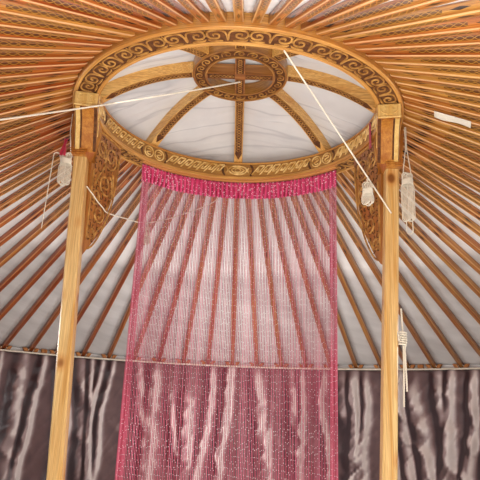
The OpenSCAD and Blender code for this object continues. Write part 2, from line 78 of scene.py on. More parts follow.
def srgb(code):
    """A colour written as sRGB hex, in the linear values that shaders take."""
    parts = [int(code[i:i + 2], 16) / 255 for i in (1, 3, 5)]
    return tuple(p / 12.92 if p <= 0.04045 else ((p + 0.055) / 1.055) ** 2.4 for p in parts) + (1.0,)


def add(tree, kind, links=None, **settings):
    """One node with its settings. links gives each input a value, or the output that feeds it."""
    made = tree.nodes.new(kind)
    for name, value in settings.items():
        setattr(made, name, value)
    join(made, links or {})
    return made


def join(node, links):
    """Gives each named input of a node a value, or the output that feeds it."""
    for name, value in links.items():
        if isinstance(value, bpy.types.NodeSocket):
            node.id_data.links.new(value, node.inputs[name])
        else:
            node.inputs[name].default_value = value


sky = bpy.data.worlds.new("pale_sky")
sky.use_nodes = True
bpy.context.scene.world = sky
ray = add(sky.node_tree, "ShaderNodeLightPath")
seen = add(sky.node_tree, "ShaderNodeMath",
           {0: ray.outputs["Is Camera Ray"], 1: ray.outputs["Is Glossy Ray"]}, operation="MAXIMUM")
power = add(sky.node_tree, "ShaderNodeMapRange", {"Value": seen.outputs[0], "To Min": 0.5, "To Max": 0.95})
join(sky.node_tree.nodes["Background"], {"Color": srgb("#f4f6f8"), "Strength": power.outputs[0]})


def lamp(name, kind, place, aim, energy, size, tint="#ffffff", glints=False):
    """A soft lamp at place that shines towards aim, unseen itself. Gloss shows it only if it glints."""
    light = bpy.data.lights.new(name, kind)
    light.energy = energy
    light.color = srgb(tint)[:3]
    if kind == "AREA":
        light.shape = "DISK"
        light.size = size
    else:
        light.angle = size
    held = bpy.data.objects.new(name, light)
    held.location = place
    held.rotation_euler = (Vector(aim) - Vector(place)).to_track_quat("-Z", "Y").to_euler()
    held.visible_camera = False
    held.visible_glossy = glints
    bpy.context.scene.collection.objects.link(held)


lamp("sun", "SUN", (-4, -6, 9), (0, 0, 0), 1.9, math.radians(25), glints=True)
lamp("door_light", "AREA", (-0.05, -2.60, 1.05), (0, 0.9, 1.5), 19, 0.6, "#fffdfa", glints=True)
lamp("floor_light", "AREA", (0, -0.3, 0.25), (0, -0.3, 3), 31, 3.0, "#fffaf4")
lamp("left_light", "AREA", (1.5, -1.6, 0.5), (-1.2, 0.6, 2.2), 12, 1.0, "#fff8ee")
lamp("crown_light", "AREA", (-0.45, -0.40, 2.42), (0.35, 0.35, 2.80), 0.6, 0.3, "#fdfcff")
lamp("crown_side", "AREA", (0.25, -1.5, 1.4), (0, 0.3, 2.75), 6.5, 0.25, "#fff9ee")
lamp("front_roof", "AREA", (0, -1.5, 1.3), (0, -1.35, 2.5), 7.5, 0.6)
lamp("left_wall", "AREA", (-2.25, 0.35, 1.5), (-0.6, 0.1, 1.7), 7, 0.4, "#fffdf8", glints=True)
lamp("right_wall", "AREA", (2.25, 0.35, 1.5), (0.6, 0.1, 1.7), 4.5, 0.4, "#fffdf8", glints=True)
lamp("back_left", "AREA", (0.5, 1.75, 0.9), (-2.2, 2.2, 0.9), 9.5, 0.5, "#fffcf8")
lamp("back_right", "AREA", (-0.5, 1.75, 0.9), (2.2, 2.2, 0.9), 9.5, 0.5, "#fffcf8")
lamp("back_roof", "AREA", (0, 1.3, 1.2), (0, 1.9, 2.0), 3.5, 1.0)


def finish(name, **values):
    """A new material, its node tree and its surface node, with plain values on that node's sockets."""
    made = bpy.data.materials.new(name)
    made.use_nodes = True
    face = made.node_tree.nodes["Principled BSDF"]
    join(face, {key.replace("_", " "): value for key, value in values.items()})
    return made, made.node_tree, face


def outward(mesh):
    """Turns every face of a closed mesh outwards."""
    work = bmesh.new()
    work.from_mesh(mesh)
    bmesh.ops.recalc_face_normals(work, faces=work.faces)
    work.to_mesh(mesh)
    work.free()


def shape_of(name, points, faces, corners=None):
    """A closed mesh. corners holds a u, v pair for each face corner in turn."""
    mesh = bpy.data.meshes.new(name)
    mesh.from_pydata([tuple(p) for p in points], [], faces)
    if corners is not None:
        mesh.uv_layers.new(name="run").data.foreach_set("uv", np.asarray(corners, dtype=np.float32).ravel())
    outward(mesh)
    return mesh


def set_up(name, mesh, angle=35):
    """An object at the origin that holds mesh, smooth up to angle, and rides with the tent."""
    mesh.shade_smooth()
    mesh.set_sharp_from_angle(angle=math.radians(angle))
    made = bpy.data.objects.new(name, mesh)
    bpy.context.scene.collection.objects.link(made)
    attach(made, "root")
    return made


def piece(name, points, faces, made_of, angle=35, corners=None):
    """A finished piece of the tent from its points and faces."""
    mesh = shape_of(name, points, faces, corners)
    mesh.materials.append(made_of)
    return set_up(name, mesh, angle)


def round_at(r, a, z):
    """The point at the distance r from the tent's middle axis, on the bearing a."""
    return (r * math.cos(a), r * math.sin(a), z)


ground_paint, tree, face = finish("pale_ground", Base_Color=srgb("#dcdad6"), Roughness=0.9)
ground_rim = [round_at(14, math.tau * k / 64, -0.002) for k in range(64)]
ground = piece("ground", ground_rim, [list(range(64))], ground_paint)

# Cords
# White cotton cords laid from three strands: one from the dome to the top of the wall, one
# from the rim to the right post, and a slack one from the left post round to the back.
slack_thick = 0.007
slack_points = [
    (-0.7166, 0, 2.100), (-0.713, 0.0224, 2.097), (-0.7058, 0.0421, 2.089), (-0.6969, 0.064, 2.080),
    (-0.6819, 0.1017, 2.060), (-0.6642, 0.1501, 2.045), (-0.6601, 0.1902, 2.040), (-0.6482, 0.2499, 2.047),
    (-0.6139, 0.3397, 2.062), (-0.580, 0.4297, 2.078), (-0.549, 0.516, 2.093), (-0.518, 0.570, 2.107),
    (-0.486, 0.597, 2.122), (-0.447, 0.624, 2.140), (-0.390, 0.660, 2.170), (-0.333, 0.692, 2.204),
    (-0.278, 0.724, 2.238), (-0.221, 0.747, 2.271), (-0.174, 0.761, 2.300), (-0.136, 0.771, 2.330),
    (-0.108, 0.778, 2.368), (-0.094, 0.782, 2.408), (-0.090, 0.784, 2.443),
]


def run_of(points):
    """How far along its line each point lies."""
    return np.concatenate([[0], np.cumsum(np.linalg.norm(np.diff(points, axis=0), axis=1))])


def eased(points, gap):
    """A smooth line through points, with a point every gap metres."""
    points = np.asarray(points, dtype=float)
    held = np.vstack([2 * points[0] - points[1], points, 2 * points[-1] - points[-2]])
    t = np.linspace(0, 1, 24, endpoint=False)[:, None]
    line = []
    for a, b, c, d in zip(held, held[1:], held[2:], held[3:]):
        square = (2 * a - 5 * b + 4 * c - d) * t ** 2
        cube = (3 * b - a - 3 * c + d) * t ** 3
        line.append(0.5 * (2 * b + (c - a) * t + square + cube))
    line = np.vstack(line + [points[-1:]])
    far = run_of(line)
    steps = np.linspace(0, far[-1], max(2, int(round(far[-1] / gap)) + 1))
    return np.stack([np.interp(steps, far, line[:, k]) for k in range(3)], axis=1)


def tube_faces(sides, steps, start=0, ends=True):
    """Faces over rings of points, numbered from start: a tube with closed ends, or a closed hoop."""
    faces = []
    if ends:
        far_end = start + sides * steps
        faces += [tuple(range(start, start + sides)), tuple(reversed(range(far_end, far_end + sides)))]
    rings = steps + 1 if ends else steps
    for k in range(steps):
        a, b = start + k * sides, start + (k + 1) % rings * sides
        faces += [(a + i, a + (i + 1) % sides, b + (i + 1) % sides, b + i) for i in range(sides)]
    return faces


def laid_cord(points, thick, sides=9, strands=3, lay=3.6):
    """Points, faces and corners of a cord along a line. Its strands turn once in lay diameters, and without
    strands it is a plain round tube."""
    along = np.gradient(points, axis=0)
    along /= np.linalg.norm(along, axis=1)[:, None]
    side = np.cross(along[0], (0.31, 0.2, 0.93))
    far = run_of(points)
    a = np.arange(sides) * math.tau / sides
    rings = []
    for middle, way, gone in zip(points, along, far):
        side = side - way * np.dot(side, way)
        side /= np.linalg.norm(side)
        r = np.full(sides, thick / 2)
        if strands:
            r *= 0.88 + 0.12 * np.cos(strands * a - strands * math.tau * gone / (lay * thick))
        rings.append(middle + np.outer(r * np.cos(a), side) + np.outer(r * np.sin(a), np.cross(way, side)))
    corners = [(0, 0)] * (2 * sides)
    for near, next_one in zip(far, far[1:]):
        for k in range(sides):
            low, high = k / sides, (k + 1) / sides
            corners += [(near, low), (near, high), (next_one, high), (next_one, low)]
    return np.vstack(rings), tube_faces(sides, len(points) - 1), corners


def swept(name, line, thick, made_of, sides=9, strands=3):
    points, faces, corners = laid_cord(line, thick, sides, strands)
    return piece(name, points, faces, made_of, 60, corners)


# Cotton cord: soft off-white, matt, with fine darker flecks between its fibres and a little soiling.
cotton, tree, face = finish("laid_cotton_cord", Roughness=0.9, Sheen_Weight=0.3)
here = add(tree, "ShaderNodeTexCoord").outputs["Object"]
fibre = add(tree, "ShaderNodeTexNoise", {"Vector": here, "Scale": 900, "Detail": 3})
soil = add(tree, "ShaderNodeTexNoise", {"Vector": here, "Scale": 22, "Detail": 2})
tone = add(tree, "ShaderNodeValToRGB", {"Fac": fibre.outputs["Fac"]})
for stop, position, shade in zip(tone.color_ramp.elements, (0.25, 0.6), ("#b9ad98", "#fbf6ea")):
    stop.position = position
    stop.color = srgb(shade)
dull = add(tree, "ShaderNodeMix",
           {"Factor": soil.outputs["Fac"], "A": tone.outputs["Color"], "B": srgb("#d8cdb6")},
           data_type="RGBA")
bump = add(tree, "ShaderNodeBump", {"Height": fibre.outputs["Fac"], "Strength": 0.5, "Distance": 0.0008})
join(face, {"Base Color": dull.outputs["Result"], "Normal": bump.outputs[0]})

slack_line = eased(slack_points, 0.004)
slack_cord = swept("slack_cord_rope", slack_line, slack_thick, cotton)
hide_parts("slack_cord")

tether_sag = 0.050
dome_end = np.array((0, 0.040, 2.7252))
wall_end = np.array(round_at(2.7812, math.radians(207), 1.5003))
t = np.linspace(0, 1, 500)[:, None]
tether_line = dome_end + (wall_end - dome_end) * t - np.array((0, 0, 1)) * 4 * tether_sag * t * (1 - t)
tether = swept("crown_tether_rope", tether_line, 0.009, cotton)
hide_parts("crown_tether")

rim_start = np.array((0.178, -0.670, 2.4427))
rim_end = np.array((0.7412, -0.0363, 2.012))
rim_line = rim_start + (rim_end - rim_start) * np.linspace(0, 1, 240)[:, None]
rim_rope = swept("rim_rope", rim_line, 0.008, cotton)
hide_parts("rim_cord")


def hank_line(x, y, low, high, radius, thick, turns, hang, pinch, top, free_end, turned):
    """The line of a hank: long flat turns side by side from high to low, the middle one down to hang, drawn
    in at pinch. Its first strand comes down from top. Its last goes back up there too, or folds over and
    hangs down to free_end. turned is the angle between the hank's flat side and the doorway's."""
    way = 1 if x > 0 else -1
    step = thick * 1.10
    bends = np.linspace(0.2, 2.94, 12)
    run = []
    for k in range(turns):
        bottom = hang if k == turns // 2 else low + 0.004 * (k % 3)
        crown = high - 0.003 * (k % 2)
        lap = [(-radius, z) for z in np.linspace(crown - radius, bottom + radius, 26)]
        lap += [(-radius * math.cos(b), bottom + radius - radius * math.sin(b)) for b in bends]
        lap += [(radius, z) for z in np.linspace(bottom + radius, crown - radius, 26)]
        if k < turns - 1:
            lap += [(radius * math.cos(b), crown - radius + radius * math.sin(b)) for b in bends]
        for i, (u, z) in enumerate(lap):
            at = (k + i / len(lap)) / turns - 0.5
            run.append((u + at * (turns - 1) * step, at * turns * step, z))
    pulled_over = 0.030

    def drawn_in(u, z):
        if abs(z - pinch) >= pulled_over:
            return u
        return u * (1 - 0.13 * (1 + math.cos(math.pi * (z - pinch) / pulled_over)))

    run = [(drawn_in(u, z), v, z) for u, v, z in run]
    below = [i for i, (u, v, z) in enumerate(run) if z < pinch]
    beside = 0.62 * thick
    apex = pinch + 0.62 * (top - pinch)
    shares = (0.15, 0.3, 0.5, 0.7, 0.85)
    u, v, z = run[below[0]]
    lead = [(-beside, 0, top), (-beside, 0, apex)]
    lead += [(-beside + (u + beside) * q, v * q, apex + (z - apex) * q) for q in shares]
    if free_end is None:
        last = below[-1]
        u, v, z = run[last]
        tail = [(beside + (u - beside) * q, v * q, apex + (z - apex) * q) for q in reversed(shares)]
        tail += [(beside, 0, apex), (beside, 0, top)]
    else:
        last = len(run) - 1
        u, v, z = run[last]
        tail = [(u + radius - radius * math.cos(b), v + 0.002 * b, z + radius * math.sin(b)) for b in bends]
        tail += [(u + 2 * radius + 0.010 * q, v + 0.007, z + (free_end - z) * q)
                 for q in np.linspace(0.05, 1, 20)]
    c, s = math.cos(turned), math.sin(turned)
    line = lead + run[below[0]:last + 1] + tail
    return eased([(x + way * (u * c + v * s), y + v * c - u * s, z) for u, v, z in line], 0.003)


def wrap_line(x, y, z, half_wide, half_deep, turns, pitch, turned):
    """A line wound round a flat bundle, in an oval."""
    way = 1 if x > 0 else -1
    run = []
    for k in range(int(turns * 40) + 1):
        c, s = math.cos(math.tau * k / 40), math.sin(math.tau * k / 40)
        u = half_wide * np.sign(c) * abs(c) ** 0.8
        v = half_deep * np.sign(s) * abs(s) ** 0.8
        run.append((x + way * (u * math.cos(turned) + v * math.sin(turned)),
                    y + v * math.cos(turned) - u * math.sin(turned), z + pitch * (k / 40 - turns / 2)))
    return eased(run, 0.003)


pole_slope = 0.474308


def under_pole(r):
    """Height of a roof pole's underside at the distance r from the middle."""
    return 1.505 + pole_slope * (2.824 - r)


# Each hank is just wide enough for its cord to turn at three diameters, and is tied by its own cord.
hanks = {
    "hank_right": dict(x=0.817, y=-0.062, low=1.962, high=2.208, radius=0.0142, thick=0.0045, turns=6,
                       hang=1.903, pinch=2.160, top=under_pole(0.8265) - 0.0032, free_end=None, turned=0.65),
    "hank_left": dict(x=-0.812, y=-0.062, low=2.078, high=2.242, radius=0.0142, thick=0.0045, turns=6,
                      hang=2.074, pinch=2.196, top=under_pole(0.8215) - 0.0032, free_end=1.855, turned=0.60),
    "rim_cord_bundle": dict(x=0.5976, y=-0.1978, low=1.988, high=2.096, radius=0.0131, thick=0.0040, turns=6,
                            hang=1.985, pinch=2.050, top=2.1140, free_end=None, turned=0.60),
    "slack_cord_bundle": dict(x=-0.502, y=0.584, low=1.985, high=2.088, radius=0.0112, thick=0.0035, turns=5,
                              hang=1.982, pinch=2.042, top=2.1060, free_end=None, turned=0.40),
}
for name, sizes in hanks.items():
    line = hank_line(**sizes)
    thick, turns = sizes["thick"], sizes["turns"]
    hank = swept(name + "_rope", line, thick, cotton, 6, 0)
    half_wide = (sizes["radius"] + (turns - 1) * thick * 0.55) * 0.72 + thick * 1.1
    half_deep = turns * thick * 0.56 + thick
    wound = wrap_line(sizes["x"], sizes["y"], sizes["pinch"], half_wide, half_deep, turns, thick * 1.04,
                      sizes["turned"])
    tie = swept(name + "_tie", wound, thick, cotton, 6, 0)
    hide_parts(name)

# A cord hangs down the right post's side. A second end is wound round it in a knot, and both hang on.
knot_x = 0.7793
knot_y = -0.008
knot_thick = 0.0093
hang_top = 1.563
hang_line = eased([(knot_x + 0.004 * math.sin((hang_top - z) * 9), knot_y, z)
                   for z in np.linspace(hang_top, 1.131, 40)], 0.004)
hang_cord = swept("post_cord", hang_line, knot_thick, cotton)
second = [(knot_x + 0.0125 - 0.003 * q, knot_y - 0.003, 1.196 + 0.190 * q) for q in np.linspace(0, 1, 14)]
second += [(knot_x + 0.0185 * math.cos(a), knot_y - 0.0185 * math.sin(a), 1.398 + 0.0104 * a / math.tau)
           for a in np.linspace(0.9, math.tau * 5.55, 110)]
second += [(knot_x - 0.024, knot_y - 0.015, 1.455), (knot_x - 0.024, knot_y - 0.026, 1.440),
           (knot_x - 0.023, knot_y - 0.029, 1.412)]
second_end = swept("post_knot_wrap", eased(second, 0.003), knot_thick, cotton)
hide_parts("post_knot")

# Crown ring
# A heavy hoop of bent, laminated wood, varnished honey gold. Its underside and inner face carry
# a sunk band between beads, carved with scrolls and a key pattern that stand up from a dark ground.
band_middle = 0.742
sunk_under = 2.4512
sunk_inside = 0.6882
inner_run = 0.688
inner_middle = 2.506
scroll_pairs = 28


def round_and_out(tree):
    """The angle round the tent, the distance out from its middle and the height, as sockets."""
    here = add(tree, "ShaderNodeTexCoord").outputs["Object"]
    spot = add(tree, "ShaderNodeSeparateXYZ", {0: here})
    angle = add(tree, "ShaderNodeMath", {0: spot.outputs["Y"], 1: spot.outputs["X"]}, operation="ARCTAN2")
    level = add(tree, "ShaderNodeVectorMath", {0: here, 1: (1, 1, 0)}, operation="MULTIPLY")
    far = add(tree, "ShaderNodeVectorMath", {0: level.outputs[0]}, operation="LENGTH")
    return angle.outputs[0], far.outputs["Value"], spot.outputs["Z"]


def grain_round(tree):
    """Coordinates in metres whose X runs round the tent, with the distance out as Y."""
    angle, far, height = round_and_out(tree)
    run = add(tree, "ShaderNodeMath", {0: angle, 1: band_middle}, operation="MULTIPLY")
    return add(tree, "ShaderNodeCombineXYZ", {0: run.outputs[0], 1: far, 2: height}).outputs[0]


def varnished_wood(name, place, pale, deep, pore, rough=0.34, coat=0.35, coarse=1.0):
    """Varnished wood. place gives coordinates whose X runs along the grain. Pale and deep streaks of 20 to
    40 mm lie along it, with pore lines of 2 to 4 mm, and a thin coat gives the soft shine of old varnish."""
    made, tree, face = finish(name, Roughness=rough, Coat_Weight=coat, Coat_Roughness=0.18)
    spot = place(tree)
    wide = add(tree, "ShaderNodeVectorMath", {0: spot, 1: (1.1, 34 * coarse, 34 * coarse)},
               operation="MULTIPLY")
    streak = add(tree, "ShaderNodeTexNoise",
                 {"Vector": wide.outputs[0], "Scale": 1.0, "Detail": 3, "Distortion": 0.6})
    thin = add(tree, "ShaderNodeVectorMath", {0: spot, 1: (7, 330 * coarse, 330 * coarse)},
               operation="MULTIPLY")
    line = add(tree, "ShaderNodeTexNoise", {"Vector": thin.outputs[0], "Scale": 1.0, "Detail": 4})
    spread = add(tree, "ShaderNodeMapRange",
                 {"Value": streak.outputs["Fac"], "From Min": 0.32, "From Max": 0.68})
    body = add(tree, "ShaderNodeMix", {"Factor": spread.outputs[0], "A": srgb(deep), "B": srgb(pale)},
               data_type="RGBA")
    dark = add(tree, "ShaderNodeMapRange",
               {"Value": line.outputs["Fac"], "From Min": 0.62, "From Max": 0.4, "To Max": 0.55})
    grain = add(tree, "ShaderNodeMix",
                {"Factor": dark.outputs[0], "A": body.outputs["Result"], "B": srgb(pore)}, data_type="RGBA")
    rise = add(tree, "ShaderNodeBump", {"Height": line.outputs["Fac"], "Strength": 0.25, "Distance": 0.0006})
    join(face, {"Base Color": grain.outputs["Result"], "Normal": rise.outputs[0]})
    return made


def mottled(name, dark, light, scale, detail, low=0.0, high=1.0, weave=0.0, **values):
    """A finish whose colour wanders between dark and light. low and high narrow the noise that it follows,
    and weave is how far the same noise stands up."""
    made, tree, face = finish(name, **values)
    here = add(tree, "ShaderNodeTexCoord").outputs["Object"]
    patches = add(tree, "ShaderNodeTexNoise", {"Vector": here, "Scale": scale, "Detail": detail})
    share = add(tree, "ShaderNodeMapRange",
                {"Value": patches.outputs["Fac"], "From Min": low, "From Max": high})
    tone = add(tree, "ShaderNodeMix", {"Factor": share.outputs[0], "A": srgb(dark), "B": srgb(light)},
               data_type="RGBA")
    join(face, {"Base Color": tone.outputs["Result"]})
    if weave:
        rise = add(tree, "ShaderNodeBump",
                   {"Height": patches.outputs["Fac"], "Strength": 0.5, "Distance": weave})
        join(face, {"Normal": rise.outputs[0]})
    return made


def dress(node, made):
    """Gives a CAD node its finish."""
    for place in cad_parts[node].material_slots:
        place.material = made


def turned(name, profile, made, steps=180, begin=0.0, end=360.0):
    """A ring or an arc with the closed outline profile, a list of (distance out, height)."""
    whole = abs(end - begin) >= 360
    count = steps if whole else steps + 1
    bearings = [math.radians(begin + (end - begin) * k / steps) for k in range(count)]
    points = [round_at(r, a, z) for a in bearings for r, z in profile]
    return piece(name, points, tube_faces(len(profile), steps, ends=not whole), made)


def carved(runs, wide, high, place, gap=0.005, point=1.4):
    """Points and faces of a raised ribbon with pointed ends along each run of (s, t) points. place(s, t, h)
    puts a point on the work."""
    points = []
    faces = []
    for run in runs:
        line = eased([(s, t, 0) for s, t in run], gap)[:, :2]
        along = np.gradient(line, axis=0)
        along /= np.maximum(np.linalg.norm(along, axis=1), 1e-9)[:, None]
        off = np.stack([-along[:, 1], along[:, 0]], axis=1)
        far = np.arange(len(line)) * gap
        half = wide / 2 * np.minimum(1, (np.minimum(far, far[-1] - far) + 0.25 * wide) / (point * wide))
        faces += tube_faces(4, len(line) - 1, len(points))
        for (s, t), (a, b), w in zip(line, off, half):
            for share, h in ((-1, 0), (-0.6, high), (0.6, high), (1, 0)):
                points.append(place(s + a * w * share, t + b * w * share, h))
    return points, faces


def repeated(name, motif, count, first, step, made, seed=1):
    """Copies of a motif, its points, faces and perhaps corners, set round the tent by Geometry Nodes: count
    of them, the first on the bearing first and then every step degrees."""
    master = bpy.data.objects.new(name + "_motif", shape_of(name + "_motif", *motif))
    bpy.context.scene.collection.objects.link(master)
    tree = bpy.data.node_groups.new("set_round", "GeometryNodeTree")
    tree.interface.new_socket("Geometry", in_out="OUTPUT", socket_type="NodeSocketGeometry")
    for label, kind in (("Motif", "Object"), ("Count", "Int"), ("First turn", "Float"), ("Step", "Float"),
                        ("Seed", "Int"), ("Finish", "Material")):
        tree.interface.new_socket(label, in_out="INPUT", socket_type="NodeSocket" + kind)
    given = add(tree, "NodeGroupInput").outputs
    spots = add(tree, "GeometryNodeMeshLine", {"Count": given["Count"], "Offset": (0, 0, 0)})
    number = add(tree, "GeometryNodeInputIndex")
    bearing = add(tree, "ShaderNodeMath", {0: number.outputs[0], 1: given["Step"], 2: given["First turn"]},
                  operation="MULTIPLY_ADD")
    turn_by = add(tree, "ShaderNodeCombineXYZ", {"Z": bearing.outputs[0]})
    source = add(tree, "GeometryNodeObjectInfo", {"Object": given["Motif"]})
    placed = add(tree, "GeometryNodeInstanceOnPoints",
                 {"Points": spots.outputs[0], "Rotation": turn_by.outputs[0],
                  "Instance": source.outputs["Geometry"]})
    chance = add(tree, "FunctionNodeRandomValue", {"Seed": given["Seed"]}, data_type="FLOAT")
    marked = add(tree, "GeometryNodeStoreNamedAttribute",
                 {"Geometry": placed.outputs[0], "Name": "pick", "Value": chance.outputs[1]},
                 data_type="FLOAT", domain="INSTANCE")
    real = add(tree, "GeometryNodeRealizeInstances", {0: marked.outputs[0]})
    ended = add(tree, "GeometryNodeSetMaterial", {"Geometry": real.outputs[0], "Material": given["Finish"]})
    add(tree, "NodeGroupOutput", {0: ended.outputs[0]})
    holder = bpy.data.objects.new(name + "_setting", bpy.data.meshes.new(name + "_setting"))
    bpy.context.scene.collection.objects.link(holder)
    setting = holder.modifiers.new("set_round", "NODES")
    setting.node_group = tree
    values = {"Motif": master, "Count": count, "First turn": math.radians(first), "Step": math.radians(step),
              "Seed": seed, "Finish": made}
    for item in tree.interface.items_tree:
        if item.in_out == "INPUT":
            setting[item.identifier] = values[item.name]
    seen = bpy.context.evaluated_depsgraph_get()
    whole = holder.evaluated_get(seen)
    mesh = bpy.data.meshes.new_from_object(whole, preserve_all_data_layers=True, depsgraph=seen)
    holder.modifiers.remove(setting)
    bpy.data.objects.remove(holder)
    bpy.data.objects.remove(master)
    mesh.name = name
    return set_up(name, mesh)


honey_birch = varnished_wood("varnished_birch_hoop", grain_round, "#e4ae60", "#c4843a", "#8a5222")
dress("crown_ring", honey_birch)

# Walnut stain in the sunk bands: dark brown and nearly matt, mottled where it has worn.
stained = mottled("walnut_stained_ground", "#472512", "#6f4420", 45, 4, 0.35, 0.7, Roughness=0.6)

# Gilt relief: the carving is picked out in thin gold-brown paint, brighter in patches by wear.
gilt = mottled("gold_painted_relief", "#c39348", "#f2d08c", 28, 5, 0.35, 0.65, Roughness=0.42,
               Coat_Weight=0.2, Coat_Roughness=0.25)

# The underside's and the brackets' relief is duller: brown-gold, hardly brighter than the wood.
dull_gilt = mottled("dull_gilt_relief", "#8c5c28", "#c6934c", 28, 5, 0.35, 0.65, Roughness=0.45,
                    Coat_Weight=0.2, Coat_Roughness=0.25)

# Honey-brown ground of the inner face, lighter than the underside's.
inner_ground = varnished_wood("honey_stained_ground", grain_round, "#bc8842", "#98682e", "#5c3612", 0.42, 0.2)

under_ground = [(0.7022, 2.4522), (0.7022, sunk_under), (0.7818, sunk_under), (0.7818, 2.4522)]
turned("ring_under_ground", under_ground, stained)
inside_ground = [(0.6892, 2.4676), (0.6892, 2.5446), (sunk_inside, 2.5446), (sunk_inside, 2.4676)]
turned("ring_inner_ground", inside_ground, inner_ground)


def on_underside(s, t, h):
    """s metres round from the X axis and t out from the band's middle, h below the sunk ground."""
    return round_at(band_middle + t, s / band_middle, sunk_under - h)


def on_inner_face(s, t, h):
    """s metres round from the X axis and t up from the inner band's middle, h in from its ground."""
    return round_at(sunk_inside - h, s / inner_run, inner_middle + t)


def round_line(s, t, wide, high, count=24):
    """An oval round (s, t)."""
    return [(s + wide * math.cos(math.tau * k / count), t + high * math.sin(math.tau * k / count))
            for k in range(count + 1)]


def sharp(run, near):
    """A run of straight strokes with points close to each corner, which keep it sharp when it is eased."""
    fine = [run[0]]
    for (s0, t0), (s1, t1) in zip(run, run[1:]):
        fine += [(s0 + (s1 - s0) * q, t0 + (t1 - t0) * q) for q in (near, 0.5, 1 - near, 1.0)]
    return fine


hook = [(-0.040, -0.028), (-0.036, 0.010), (-0.024, 0.029), (0.004, 0.033), (0.028, 0.028), (0.036, 0.010),
        (0.030, -0.010), (0.012, -0.017), (-0.006, -0.010), (-0.008, 0.006), (0.004, 0.014), (0.014, 0.008),
        (0.012, 0.000)]
bar = [(-0.022, -0.031), (0.000, -0.032), (0.026, -0.030), (0.038, -0.022)]
wedge = [(0.0395, -0.002), (0.0415, 0.020), (0.0415, 0.034)]
quarter = math.tau * band_middle / scroll_pairs / 4
scroll = []
for run in (hook, bar, wedge):
    scroll += [[(s - quarter, t) for s, t in run], [(quarter - s, t) for s, t in run]]

key_pitch = 0.0492
key_stroke = [(0.000, -0.030), (0.000, 0.029), (0.0325, 0.029), (0.0325, -0.009), (0.0155, -0.009),
              (0.0155, 0.010)]
key = []
for k in range(7):
    s = math.radians(8.6) * inner_run + key_pitch * k
    key.append(sharp([(s + 0.0325 - x - 0.85 * t, t) for x, t in key_stroke], 0.12))

knot = [round_line(0, 0, 0.017, 0.013), round_line(0, 0, 0.054, 0.028),
        [(-0.044, 0.0), (0.0, 0.022), (0.044, 0.0)], [(-0.044, 0.0), (0.0, -0.022), (0.044, 0.0)],
        [(-0.068, 0.018), (-0.060, 0.0), (-0.068, -0.018)], [(0.068, 0.018), (0.060, 0.0), (0.068, -0.018)]]
discs = []
for s in (-0.037, 0.037):
    discs += [round_line(s, 0, 0.031, 0.031),
              [(s - 0.014, -0.014), (s + 0.004, -0.018), (s + 0.015, -0.006), (s, 0.0), (s - 0.015, 0.006),
               (s - 0.004, 0.018), (s + 0.014, 0.014)]]
braces = [[(x * 0.076, 0.036), (x * 0.088, 0.020), (x * 0.092, 0.0), (x * 0.088, -0.020), (x * 0.076, -0.036)]
          for x in (-1, 1)]
for name, motif, count, first, made in (
        ("ring_scrolls", carved(scroll, 0.0078, 0.0042, on_underside, 0.004), scroll_pairs, 3.2, dull_gilt),
        ("ring_keys", carved(key, 0.0094, 0.0048, on_inner_face), 8, 0, gilt),
        ("ring_knots", carved(knot, 0.0090, 0.0048, on_inner_face), 4, 0, gilt),
        ("ring_discs", carved(discs, 0.0078, 0.0048, on_inner_face), 4, 45, gilt),
        ("ring_braces", carved(braces, 0.0130, 0.0030, on_inner_face, point=0.5), 8, 0, stained)):
    repeated(name, motif, count, first, 360 / count, made)

# A smooth batten covers the band's inner half over the string curtain and holds its top edge.
batten = [(0.7058, sunk_under), (0.7058, 2.4456), (0.7080, 2.4448), (0.7330, 2.4448), (0.7352, 2.4456),
          (0.7352, sunk_under)]
turned("header_batten", batten, honey_birch, 90, 38.4, 139.6)

# Hub ring and cross
# A smaller hoop at the top of the dome, carved under with little scrolls, and two bars halved
# together across it. The bars are varnished and carved along their undersides.
hub_middle = 0.206
hub_sunk = 2.7303
cross_under = 2.7300
hub_scrolls = 20
hub_wood = varnished_wood("varnished_hub_hoop", grain_round, "#c08a44", "#96602a", "#5f3814", coarse=1.4)
dress("crown_hub", hub_wood)


def grain_x(tree):
    return add(tree, "ShaderNodeTexCoord").outputs["Object"]


bar_wood = varnished_wood("varnished_cross_bar", grain_x, "#c98a45", "#8f5526", "#5d3014", coarse=1.2)
dress("crown_cross", bar_wood)
hub_ground = [(0.1812, 2.7313), (0.1812, hub_sunk), (0.2308, hub_sunk), (0.2308, 2.7313)]
turned("hub_under_ground", hub_ground, stained, 120)


def under_hub(s, t, h):
    return round_at(hub_middle + t, s / hub_middle, hub_sunk - h)


def under_bar(s, t, h):
    """s metres out along a bar from the hub's middle, t across it, h below it."""
    return (0.028 + s, t, cross_under - h)


def strip(place, length, half, thick, steps=2, tip=0.0):
    """Points and faces of a thin inlay along place(s, t, h), with a pointed far end of length tip."""
    points = []
    for k in range(steps + 1):
        s = length * k / steps
        w = half * min(1.0, max(0.04, (length - s) / tip)) if tip else half
        points += [place(s, -w, 0), place(s, w, 0), place(s, w, thick), place(s, -w, thick)]
    return points, tube_faces(4, steps)


def crossed_waves(first, gap, swing, count):
    """Two waves that cross every three gaps, the links of a carved chain."""
    return [[(first + gap * k, swing * way * math.sin(math.pi * k / 3)) for k in range(count)]
            for way in (-1, 1)]


